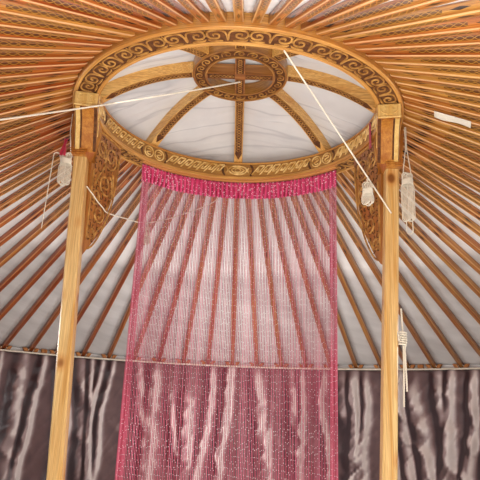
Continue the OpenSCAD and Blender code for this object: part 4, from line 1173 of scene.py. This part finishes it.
curtain_span = (math.tau - 2 * door_side) / 4
chance = np.random.default_rng(42)
rows = 62
columns = 480
share = np.linspace(0, 1, columns)
run_at = share * curtain_span * curtain_middle
edge_ease = np.minimum(1, np.minimum(share, 1 - share) / 0.02)
for k in range(4):
    begin = math.radians(270) + door_side + k * curtain_span
    around = begin + 0.0006 + share * (curtain_span - 0.0014)
    folds = [-0.1]
    while folds[-1] < run_at[-1] + 0.2:
        folds.append(folds[-1] + chance.uniform(0.080, 0.210))
    folds = np.array(folds[:-1])
    high_of = chance.uniform(0.55, 1.1, len(folds))
    wide_of = chance.uniform(0.034, 0.072, len(folds))
    slant_of = chance.uniform(-0.13, 0.13, len(folds))
    from_of = chance.uniform(-0.25, 0.55, len(folds)) * (chance.uniform(0, 1, len(folds)) > 0.4)
    front, rear, cut = grids(rows, columns)
    lifts = np.zeros((rows, columns))
    for j in range(rows):
        t = j / (rows - 1)
        down = curtain_drop * t
        z = np.full(columns, curtain_low + curtain_drop - down)
        wander = np.array([0.060 * ruffle(f * 3.1, down * 1.9, 7 + k) for f in folds])
        lines = folds + slant_of * down + wander * min(1, down / 0.25)
        grown = np.clip((down - from_of) / 0.30 + 0.45, 0.12, 1) * high_of
        spread = wide_of * (0.75 + 0.5 * t)
        ridges = grown * np.exp(-np.abs((run_at[:, None] - lines) / spread) ** 2.4)
        ridge = np.clip((ridges ** 3).sum(axis=1) ** (1 / 3), 0, 1)
        broad = [abs(ruffle(s * 3.6 + down * 4.4, down * 2.2 - s * 1.5, 3 + k)) for s in run_at]
        fine = [abs(ruffle(s * 9.0 - down * 7.0, down * 4.0, 19 + k)) for s in run_at]
        crumple = 0.60 * (1 - np.array(broad) * 2.6) + 0.40 * (1 - np.array(fine) * 2.4)
        crumple = np.maximum(crumple, 0) * min(1, 0.2 + down / 0.15)
        lifts[j] = np.clip(ridge * (0.54 + 0.56 * crumple) + 0.14 * crumple, 0, 1)
        swing = 0.010 * min(1, down / 0.3) / curtain_middle
        a = around + swing * np.array([ruffle(s * 6, down * 2, 31 + k) for s in run_at]) * edge_ease
        r = curtain_outer - curtain_deep * lifts[j]
        front[j] = np.stack([r * np.cos(a), r * np.sin(a), z], axis=1)
        rear[j] = np.stack([(r + satin_thick) * np.cos(a), (r + satin_thick) * np.sin(a), z], axis=1)
        cut[j] = np.stack([run_at, np.full(columns, down)], axis=1)
    satin_length = shell("satin_curtain_%d" % (k + 1), front, rear, satin, cut)
    # Painted light: each point is lighter where the cloth stands out and on one flank of each fold, and
    # darker in the dips.
    slope_across = np.gradient(lifts * curtain_deep, axis=1) / (run_at[1] - run_at[0])
    slope_down = np.gradient(lifts * curtain_deep, axis=0) / (curtain_drop / (rows - 1))
    painted_light_share = np.clip(0.34 * lifts + 0.31 + 0.95 * (slope_across + 0.4 * slope_down), 0, 0.92)
    painted_light_layer = satin_length.data.attributes.new("painted_fold_light", "FLOAT", "POINT")
    painted_light_layer.data.foreach_set("value", np.tile(painted_light_share.ravel(), 2).astype(np.float32))
    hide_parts("wall_curtain_%d" % (k + 1))

# Ribbons and a tucked square
# A crimson silk ribbon is knotted on the left hank's cord and another hangs over the ring by the
# right post. A folded square of white cotton is tucked under a pole beside the right post.
silk = mottled("crimson_silk_ribbon", "#8e1228", "#c8284a", 60, 3, Roughness=0.45, Sheen_Weight=0.4)


def small_cloth(name, rows, columns, place, thick, made):
    """A small closed cloth. place(i, j) gives a point for each share across and down, and the way its front
    faces."""
    front, rear, cut = grids(rows, columns)
    for j in range(rows):
        for i in range(columns):
            spot, facing = place(i / (columns - 1), j / (rows - 1))
            front[j, i] = np.array(spot) + np.array(facing) * thick / 2
            rear[j, i] = np.array(spot) - np.array(facing) * thick / 2
    return shell(name, front, rear, made)


def hank_ribbon(i, j):
    wide = 0.010 + 0.016 * min(1, abs(j - 0.30) / 0.5)
    curl = 0.005 * math.sin(3.0 * math.pi * i + 2 * j)
    return (-0.820 + (i - 0.5) * wide - 0.006 * j, -0.0745 - 0.010 * j - curl, 2.312 - 0.092 * j), (0, -1, 0)


def ring_ribbon(i, j):
    a = math.radians(6.2 + 2.3 * (i - 0.5) * (0.6 + 0.8 * j))
    r = 0.6810 - 0.0025 * math.sin(2.6 * math.pi * i + j)
    return round_at(r, a, 2.538 - 0.140 * j), round_at(-1, a, 0)


def tucked_square(i, j):
    r = 0.930 + 0.150 * i
    bend = 0.0035 * math.sin(2.2 * math.pi * i) * j
    return round_at(r, math.radians(-18.3) + (j - 0.5) * 0.056 / r, under_pole(r) - 0.0028 - bend), (0, 0, -1)


for name, rows, columns, place, thick, made, slot, size, held, on in (
        ("hank_ribbon", 16, 9, hank_ribbon, 0.0012, silk, "header_cloth", (0.026, 0.094), "hung",
         "hank_left_rope"),
        ("ring_ribbon", 16, 9, ring_ribbon, 0.0012, silk, "header_cloth", (0.028, 0.141), "hung",
         "crown_ring"),
        ("tucked_square", 8, 16, tucked_square, 0.0030, cotton, "white_canvas", (0.151, 0.057), "laid",
         "larch_poles_right")):
    cloth = small_cloth(name, rows, columns, place, thick, made)

# Top of the wall
# A white cotton cord runs round the top of the lattice and carries the curtain. A small loop of
# cord ties each pole's foot to the lattice.
dress("wall_top_cord", cotton)
loop = np.array([(2.8085 + 0.011 * math.sin(a), 0.0265 * math.cos(a),
                  1.5085 + 0.017 * math.sin(a) ** 2 - 0.010 * math.sin(a))
                 for a in np.linspace(0, math.tau, 21)])
loops = repeated("pole_foot_loops", laid_cord(loop, 0.0052, 6, 0), pole_count, 0, 360 / pole_count, cotton, 4)

# Roof lining and cover
# White cotton lining lies on the poles and dips a little between them, with a pale tape sewn
# along its foot. Over it is a felt and canvas cover in four quarters, with sewn seams, that hangs
# over the top of the wall.
roof_first = 0.8006
pole_gap = math.radians(360 / pole_count)


def lining_height(r):
    return under_pole(r) + pole_deep(r) + 0.0005


def cover_height(r):
    return lining_height(r) + 0.028 / math.cos(pole_pitch)


# Cotton lining: a plain weave, white with a cold grey cast in its dips, and pressed creases. From about 1.9 m
# out along the slope down to the wall it is painted greyer, a painted shade.
lining_cloth, tree, face = finish("white_cotton_lining", Roughness=0.85, Sheen_Weight=0.15)
spot = add(tree, "ShaderNodeUVMap", uv_map="run").outputs[0]
cloud = add(tree, "ShaderNodeTexNoise", {"Vector": spot, "Scale": 3.0, "Detail": 4})
even = add(tree, "ShaderNodeMapRange", {"Value": cloud.outputs["Fac"], "From Min": 0.3, "From Max": 0.7})
upper = add(tree, "ShaderNodeMix", {"Factor": even.outputs[0], "A": srgb("#dcd8d6"), "B": srgb("#f0eeec")},
            data_type="RGBA")
lower = add(tree, "ShaderNodeMix", {"Factor": even.outputs[0], "A": srgb("#b4b0ae"), "B": srgb("#d2cfcd")},
            data_type="RGBA")
place = add(tree, "ShaderNodeSeparateXYZ", {0: spot})
# Painted shade: the lining turns greyer over its lower part.
lining_wall_shade = add(tree, "ShaderNodeMapRange", {"Value": place.outputs["Y"], "From Min": 1.82, "From Max": 1.93})
tone = add(tree, "ShaderNodeMix",
           {"Factor": lining_wall_shade.outputs[0], "A": upper.outputs["Result"], "B": lower.outputs["Result"]},
           data_type="RGBA")
weave = add(tree, "ShaderNodeTexNoise", {"Vector": spot, "Scale": 420, "Detail": 2})
rise = add(tree, "ShaderNodeBump", {"Height": weave.outputs["Fac"], "Strength": 0.2, "Distance": 0.0006})
join(face, {"Base Color": tone.outputs["Result"], "Normal": rise.outputs[0]})

# Canvas: heavy white cotton duck, weathered to warm white and dustier towards the ground, with a
# weave drawn 4 mm across so that it shows.
canvas, tree, face = finish("weathered_cotton_canvas", Roughness=0.82, Sheen_Weight=0.1)
here = add(tree, "ShaderNodeTexCoord").outputs["Object"]
cloud = add(tree, "ShaderNodeTexNoise", {"Vector": here, "Scale": 3.5, "Detail": 8, "Roughness": 0.65})
even = add(tree, "ShaderNodeMapRange", {"Value": cloud.outputs["Fac"], "From Min": 0.3, "From Max": 0.75})
clean = add(tree, "ShaderNodeMix", {"Factor": even.outputs[0], "A": srgb("#e5e1d6"), "B": srgb("#f0ede4")},
            data_type="RGBA")
height = add(tree, "ShaderNodeSeparateXYZ", {0: here})
splash = add(tree, "ShaderNodeTexNoise", {"Vector": here, "Scale": 9, "Detail": 4})
low = add(tree, "ShaderNodeMapRange",
          {"Value": height.outputs["Z"], "From Min": 0.0, "From Max": 0.42, "To Min": 0.75, "To Max": 0.0})
dust = add(tree, "ShaderNodeMath", {0: low.outputs[0], 1: splash.outputs["Fac"]}, operation="MULTIPLY")
tone = add(tree, "ShaderNodeMix",
           {"Factor": dust.outputs[0], "A": clean.outputs["Result"], "B": srgb("#9c8d74")}, data_type="RGBA")
warp = add(tree, "ShaderNodeTexNoise", {"Vector": here, "Scale": 260, "Detail": 2})
rise = add(tree, "ShaderNodeBump", {"Height": warp.outputs["Fac"], "Strength": 0.3, "Distance": 0.001})
join(face, {"Base Color": tone.outputs["Result"], "Normal": rise.outputs[0]})

rows = 64
columns = 161
for name, centre in (("right", 0), ("back", 90), ("left", 180), ("front", 270)):
    front, rear, cut = grids(rows, columns)
    for j in range(rows):
        r = roof_first + (2.851 - roof_first) * (j / (rows - 1)) ** 1.15
        clear = r * pole_gap - pole_wide
        base = lining_height(r)
        for i in range(columns):
            share = i / (columns - 1)
            a = math.radians(centre - 45) + share * (math.pi / 2 - 0.0002)
            phase = share * pole_count / 4 % 1
            from_pole = abs(phase - round(phase)) * pole_gap * r
            open_share = between((from_pole - pole_wide / 2 - 0.002) / max(0.004, clear / 2), 0.0, 1.0)
            dip = 0.055 * clear * (1 - (1 - open_share) ** 2)
            crease = 0.5 + ruffle(a * 26 + r * 2.2, r * 2.6, 2) * 0.9 + 0.35 * ruffle(a * 60, r * 7.0, 5)
            front[j, i] = round_at(r, a, base + 0.0004 - dip * (0.45 + crease * 0.75))
            rear[j, i] = round_at(r, a, base + 0.0024)
            cut[j, i] = (a * r, r / math.cos(pole_pitch))
    lining = shell("roof_lining_" + name, front, rear, lining_cloth, cut)
    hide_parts("roof_felt_" + name)

tape_outline = [(2.8378, 1.4958), (2.8392, 1.4958), (2.8392, 1.5340), (2.8378, 1.5340)]
tape = turned("lining_edge_tape", tape_outline, lining_cloth, 320)

eave = 1.380
over_door = 1.4930
door_half = 11.26
skirt_thick = 0.0185
skirt_inside = 2.8630
felt_bed = 0.0075


def cover_quarter(name, centre, parts):
    """The outer cover of one quarter. parts lists (first degree, last degree, lower edge) of its skirt."""
    points = []
    faces = []
    slope = np.linspace(roof_first, 2.883, 46)
    skirt = np.linspace(1.0, 0.0, 8)[1:]
    for first, last, low in parts:
        columns = max(8, int(round((last - first) / 0.75)))
        start = len(points)
        for i in range(columns + 1):
            deg = first + (last - first) * i / columns
            a = math.radians(centre + deg)
            seam = 0.003 if abs((deg + 45) % 22.5 - 11.25) > 10.9 else 0.0
            outline = []
            for r in slope:
                broad = 0.0055 * min(0, ruffle(a * 7, r * 2.0, 1) - 0.1)
                fine = 0.003 * min(0, ruffle(a * 24, r * 3, 9))
                outline.append((r, cover_height(r) + seam - 0.0035 + broad + fine))
            top_edge = outline[-1][1]
            sway = 0.0030 * ruffle(a * 30, 0.5, 4)
            for t in skirt:
                z = low + (top_edge - low) * t
                pull = 0.004 * (0.5 + ruffle(a * 34, z * 2, 6)) * (1 - t)
                outline.append((2.8815 - pull + sway * 0.3, z))
            under = lining_height(skirt_inside) + felt_bed
            outline += [(r - skirt_thick, min(z, under)) for r, z in outline[:-len(skirt) - 1:-1]]
            outline.append((skirt_inside, under))
            outline += [(r, lining_height(r) + felt_bed) for r in (*slope[-3::-3], roof_first)]
            points += [round_at(r, a, z) for r, z in outline]
        faces += tube_faces(len(outline), columns, start)
    cover = piece("roof_cover_" + name, points, faces, canvas, 40)
    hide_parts("roof_felt_" + name)


for name, centre in (("right", 0), ("back", 90), ("left", 180)):
    cover_quarter(name, centre, [(-45, 44.99, eave)])
cover_quarter("front", 270, [(-45, -door_half, eave), (-door_half, door_half, over_door),
                             (door_half, 44.99, eave)])

# Wall cover and girths
# Six lengths of canvas-faced felt stand round the lattice, sewn at their edges and pulled in by
# three woven bands. Between the bands the cloth swells and wrinkles a little.

# Woven wool band: matt, in two browns that wander over 7 mm, with a little nap.
webbing = mottled("woven_wool_band", "#8f7350", "#d8c6a2", 140, 3, weave=0.0012, Roughness=0.9,
                  Sheen_Weight=0.2)
dress("wall_girths", webbing)
dress("crown_cloth_ties", webbing)
wall_span = (math.tau - 2 * door_side) / 6
wall_low = 0.002
wall_high = 1.4825
wall_out = 2.8545
wall_in = 2.8362
girth_middles = (0.406, 0.843, 1.264)
rows = 60
columns = 150
for k in range(6):
    begin = math.radians(270) + door_side + k * wall_span
    front, rear, cut = grids(rows, columns)
    for j in range(rows):
        z = wall_low + (wall_high - wall_low) * j / (rows - 1)
        from_girth = min(abs(z - girth) for girth in girth_middles)
        slack = between((from_girth - 0.030) / 0.12, 0.0, 1.0)
        for i in range(columns):
            a = begin + 0.0004 + (wall_span - 0.0008) * i / (columns - 1)
            from_edge = min(i, columns - 1 - i) / (columns - 1) * wall_span * 2.85
            wrinkle = 0.5 + 0.5 * ruffle(a * 17, z * 1.3, 3) + 0.3 * ruffle(a * 48, z * 2.2, 8)
            fall = 0.0006 + (1 - slack) * 0.0035 + slack * 0.006 * max(0.0, wrinkle)
            seam = 0.0025 if from_edge < 0.018 else 0.0
            front[j, i] = round_at(wall_out - max(0.0002, fall - seam), a, z)
            rear[j, i] = round_at(wall_in, a, z)
    wall = shell("wall_canvas_%d" % (k + 1), front, rear, canvas, None, 50)
    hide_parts("wall_felt_%d" % (k + 1))

# Crown cloth
# A square of thin canvas lies over the dome and is tied down at its four corners, so that it can
# be folded back to open the crown. Seen from below it sags softly between the ribs.
cloth_side = 2.100
# The sheet's underside takes this greyer copy of the canvas and its top the white canvas: the grey is a
# painted shade.
crown_canvas, tree, face = finish("thin_crown_canvas", Roughness=0.85, Sheen_Weight=0.1)
here = add(tree, "ShaderNodeTexCoord").outputs["Object"]
cloud = add(tree, "ShaderNodeTexNoise", {"Vector": here, "Scale": 4.0, "Detail": 4})
even = add(tree, "ShaderNodeMapRange", {"Value": cloud.outputs["Fac"], "From Min": 0.3, "From Max": 0.7})
tone = add(tree, "ShaderNodeMix", {"Factor": even.outputs[0], "A": srgb("#cdcccc"), "B": srgb("#d9d8d6")},
           data_type="RGBA")

# The creases run slantwise, 60 to 150 mm apart, with a painted shade along their dips.
slant = add(tree, "ShaderNodeMapping",
            {"Vector": here, "Rotation": (0, 0, math.radians(-32)), "Scale": (1.0, 8.5, 1.0)})
long_fold = add(tree, "ShaderNodeTexNoise",
                {"Vector": slant.outputs[0], "Scale": 1.0, "Detail": 2, "Distortion": 0.5})
ridge_line = add(tree, "ShaderNodeMath", {0: long_fold.outputs["Fac"], 1: 0.5}, operation="SUBTRACT")
ridge_near = add(tree, "ShaderNodeMath", {0: ridge_line.outputs[0]}, operation="ABSOLUTE")
crease_shade = add(tree, "ShaderNodeMapRange",
             {"Value": ridge_near.outputs[0], "From Min": 0.035, "From Max": 0.0, "To Max": 0.5})
shaded = add(tree, "ShaderNodeMix",
             {"Factor": crease_shade.outputs[0], "A": tone.outputs["Result"], "B": srgb("#a2a2a6")},
             data_type="RGBA")
rise = add(tree, "ShaderNodeBump", {"Height": long_fold.outputs["Fac"], "Strength": 0.7, "Distance": 0.03})
join(face, {"Base Color": shaded.outputs["Result"], "Normal": rise.outputs[0]})


def rib_back(r):
    """Height of the ribs' upper side at the distance r from the middle."""
    return rib_bend_z + math.sqrt((rib_bend_r + 0.062) ** 2 - (r - rib_bend_x) ** 2)


over_ribs = [0.242 + 0.518 * k / 8 for k in range(1, 9)]
dome_r = [0.0, 0.242] + over_ribs + [0.802, 1.050, 1.600]
dome_z = [2.799, 2.799] + [max(rib_back(r), 2.555) + 0.001 for r in over_ribs]
dome_z += [2.556, cover_height(1.050) + 0.0005, cover_height(1.600) + 0.0005]
size = 92
front, rear, cut = grids(size, size)
for j in range(size):
    for i in range(size):
        x = cloth_side * (i / (size - 1) - 0.5)
        y = cloth_side * (j / (size - 1) - 0.5)
        r = math.hypot(x, y)
        bell = between((r - 0.25) / 0.12, 0.0, 1.0) * between((0.74 - r) / 0.10, 0.0, 1.0)
        off_ribs = math.sin(rib_count / 2 * math.atan2(y, x)) ** 2
        fold = 1 - 2.4 * abs(ruffle((x + y) * 3.6, (x - y) * 0.8, 2))
        fold += 0.7 * (1 - 2.4 * abs(ruffle((x - 0.6 * y) * 5.5, (x + y) * 1.4, 5)))
        sag = bell * (off_ribs * 0.014 + (0.25 + 0.75 * off_ribs) * 0.008 * max(0.0, fold))
        flap = 0.0025 * max(0.0, ruffle(x * 9, y * 9, 7)) if r > 1.06 else 0.0
        z = float(np.interp(r, dome_r, dome_z)) - sag + flap
        front[j, i] = (x, y, z + 0.0038)
        rear[j, i] = (x, y, z + 0.0006)
        cut[j, i] = (x, y)
crown_sheet = shell("crown_cloth_sheet", front, rear, crown_canvas, cut)
crown_sheet.data.materials.append(canvas)
for upper in crown_sheet.data.polygons[:(size - 1) ** 2]:
    upper.material_index = 1
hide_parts("crown_cloth")

# String curtain
# A ready-made string curtain is pinned under the far side of the ring: a ruched crimson header
# with silver glitter, and rose-coloured flat strings with glitter down to knee height.
header_low = 2.3372
header_high = 2.4462
header_first = math.radians(40.1)
header_last = math.radians(137.9)
header_span = header_last - header_first

# Crimson header cloth with silver flecks 3 mm across. Its colour carries painted light: lighter where its
# gathers stand out, painted shade where they tuck in.
crimson, tree, face = finish("crimson_glitter_header", Roughness=0.5, Sheen_Weight=0.35, Sheen_Roughness=0.4)
spot = add(tree, "ShaderNodeUVMap", uv_map="run").outputs[0]
cells = add(tree, "ShaderNodeTexVoronoi", {"Vector": spot, "Scale": 120, "Randomness": 1.0})
fleck = add(tree, "ShaderNodeMath", {0: cells.outputs["Distance"], 1: 0.34}, operation="LESS_THAN")
drawn = add(tree, "ShaderNodeSeparateColor", {0: cells.outputs["Color"]})
some = add(tree, "ShaderNodeMath", {0: drawn.outputs[0], 1: 0.55}, operation="GREATER_THAN")
glint = add(tree, "ShaderNodeMath", {0: fleck.outputs[0], 1: some.outputs[0]}, operation="MULTIPLY")
cloud = add(tree, "ShaderNodeTexNoise", {"Vector": spot, "Scale": 12, "Detail": 3})
out = round_and_out(tree)[1]
gather_shade = add(tree, "ShaderNodeMapRange", {"Value": out, "From Min": 0.7470, "From Max": 0.7372})
lit_crimson = add(tree, "ShaderNodeMix",
             {"Factor": cloud.outputs["Fac"], "A": srgb("#e2246a"), "B": srgb("#ff6ca6")}, data_type="RGBA")
body = add(tree, "ShaderNodeMix",
           {"Factor": gather_shade.outputs[0], "A": srgb("#8e0c36"), "B": lit_crimson.outputs["Result"]},
           data_type="RGBA")
tone = add(tree, "ShaderNodeMix",
           {"Factor": glint.outputs[0], "A": body.outputs["Result"], "B": srgb("#ffe6f0")}, data_type="RGBA")
join(face, {"Base Color": tone.outputs["Result"]})

rows = 14
columns = 900
front, rear, cut = grids(rows, columns)
for j in range(rows):
    t = j / (rows - 1)
    pulled = 0.6 if abs(t - 0.14) < 0.04 else 1.0
    for i in range(columns):
        share = i / (columns - 1)
        run = share * header_span * band_middle
        broad = ruffle(run * 9, t * 0.8, 5)
        tuck = math.sin(math.tau * run / 0.0265 + 3.4 * ruffle(run * 11, t * 0.7, 3))
        small = math.sin(math.tau * run / 0.0097 + 2.6 * ruffle(run * 23, t * 1.5, 8))
        deep = (0.0034 + 0.0022 * t) * tuck * (0.55 + 1.6 * abs(broad)) + 0.0012 * small + 0.0024 * broad
        a = header_first + header_span * share
        r = band_middle + between(deep * pulled, -0.0062, 0.0062)
        low = header_low + 0.0090 * between(0.5 + 0.35 * tuck + 0.8 * broad, 0, 1)
        z = header_high + (low - header_high) * t
        front[j, i] = round_at(r - 0.0004, a, z)
        rear[j, i] = round_at(r + 0.0004, a, z)
        cut[j, i] = (run, 0.11 * t)
header = shell("string_curtain_header", front, rear, crimson, cut)
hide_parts("curtain_header")

# Rose string tape: flat, with a low shine, 3 to 4 mm wide, a pair every 19 mm. It is painted paler towards
# the top, a painted light where the light comes through.
rose, tree, face = finish("rose_string_tape", Roughness=0.5, Sheen_Weight=0.3)
pick = add(tree, "ShaderNodeAttribute", attribute_name="pick", attribute_type="GEOMETRY").outputs["Fac"]
up = add(tree, "ShaderNodeSeparateXYZ", {0: add(tree, "ShaderNodeTexCoord").outputs["Object"]})
low = add(tree, "ShaderNodeMapRange", {"Value": up.outputs["Z"], "From Min": 2.30, "From Max": 1.25})
light = add(tree, "ShaderNodeMix", {"Factor": pick, "A": srgb("#a02e50"), "B": srgb("#e296a8")},
            data_type="RGBA")
full = add(tree, "ShaderNodeMix", {"Factor": pick, "A": srgb("#98183a"), "B": srgb("#d8708a")},
           data_type="RGBA")
tone = add(tree, "ShaderNodeMix",
           {"Factor": low.outputs[0], "A": light.outputs["Result"], "B": full.outputs["Result"]},
           data_type="RGBA")
join(face, {"Base Color": tone.outputs["Result"]})

# Silver flakes, a few millimetres across, every few centimetres along the strings. They show
# nearly white.
silver, tree, face = finish("silver_glitter_flake", Metallic=0.2, Roughness=0.2)
pick = add(tree, "ShaderNodeAttribute", attribute_name="pick", attribute_type="GEOMETRY").outputs["Fac"]
tone = add(tree, "ShaderNodeMix", {"Factor": pick, "A": srgb("#f6dfe8"), "B": srgb("#ffffff")},
           data_type="RGBA")
join(face, {"Base Color": tone.outputs["Result"]})

string_low = 0.442
string_high = 2.3480
string_steps = 56
string_first = math.degrees(header_first) + 0.25
string_gap = 0.019
pitch = math.degrees(string_gap / band_middle)
pairs = int(header_span * band_middle / string_gap)
border_step = 0.80
for half, shift in ((0, 0.0), (1, 0.46)):
    points = []
    for k in range(string_steps + 1):
        z = string_high + (string_low - string_high) * k / string_steps
        sway = 0.0006 * math.sin(k * 0.21 + 2 * half)
        turn_by = 0.5 * math.sin(k * 0.33 + 1.3 * half)
        half_wide = 0.0016 + 0.0004 * min(1, k / 30)
        w = half_wide * math.cos(turn_by)
        d = half_wide * math.sin(turn_by) * 0.5
        for out_by, wide_by, thick in ((-d, -w, -0.0004), (d, w, -0.0004), (d, w, 0.0004), (-d, -w, 0.0004)):
            points.append((band_middle + out_by + thick, sway + wide_by, z))
    string = (points, tube_faces(4, string_steps))
    strings = repeated("rose_strings_%d" % (half + 1), string, pairs, string_first + shift * pitch, pitch,
                       rose, 21 + half)
    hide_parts("curtain_strings")
    for edge, first in (("right", math.degrees(header_first) + 0.10),
                        ("left", math.degrees(header_last) - 4.4)):
        border = repeated("rose_border_%s_%d" % (edge, half + 1), string, 5, first + border_step / 2 * half,
                          border_step, rose, 51 + half)

flake_front = 0.7410
chance = np.random.default_rng(7)
for group in range(11):
    points = []
    faces = []
    for k in range(52):
        z = string_high - 0.02 - 0.0355 * k - chance.uniform(0, 0.025)
        y = chance.uniform(-0.0016, 0.0016)
        e = chance.uniform(0.0016, 0.0030)
        m = len(points)
        points += [(flake_front, y - e, z), (flake_front, y, z + e), (flake_front, y + e, z),
                   (flake_front, y, z - e), (flake_front - 0.0010, y, z), (flake_front + 0.0006, y, z)]
        faces += [(m, m + 1, m + 4), (m + 1, m + 2, m + 4), (m + 2, m + 3, m + 4), (m + 3, m, m + 4),
                  (m + 1, m, m + 5), (m + 2, m + 1, m + 5), (m + 3, m + 2, m + 5), (m, m + 3, m + 5)]
    glitter = repeated("string_glitter_%d" % (group + 1), (points, faces), pairs * 2 // 11,
                       string_first + group * pitch / 2, pitch * 5.5, silver, 33 + group)
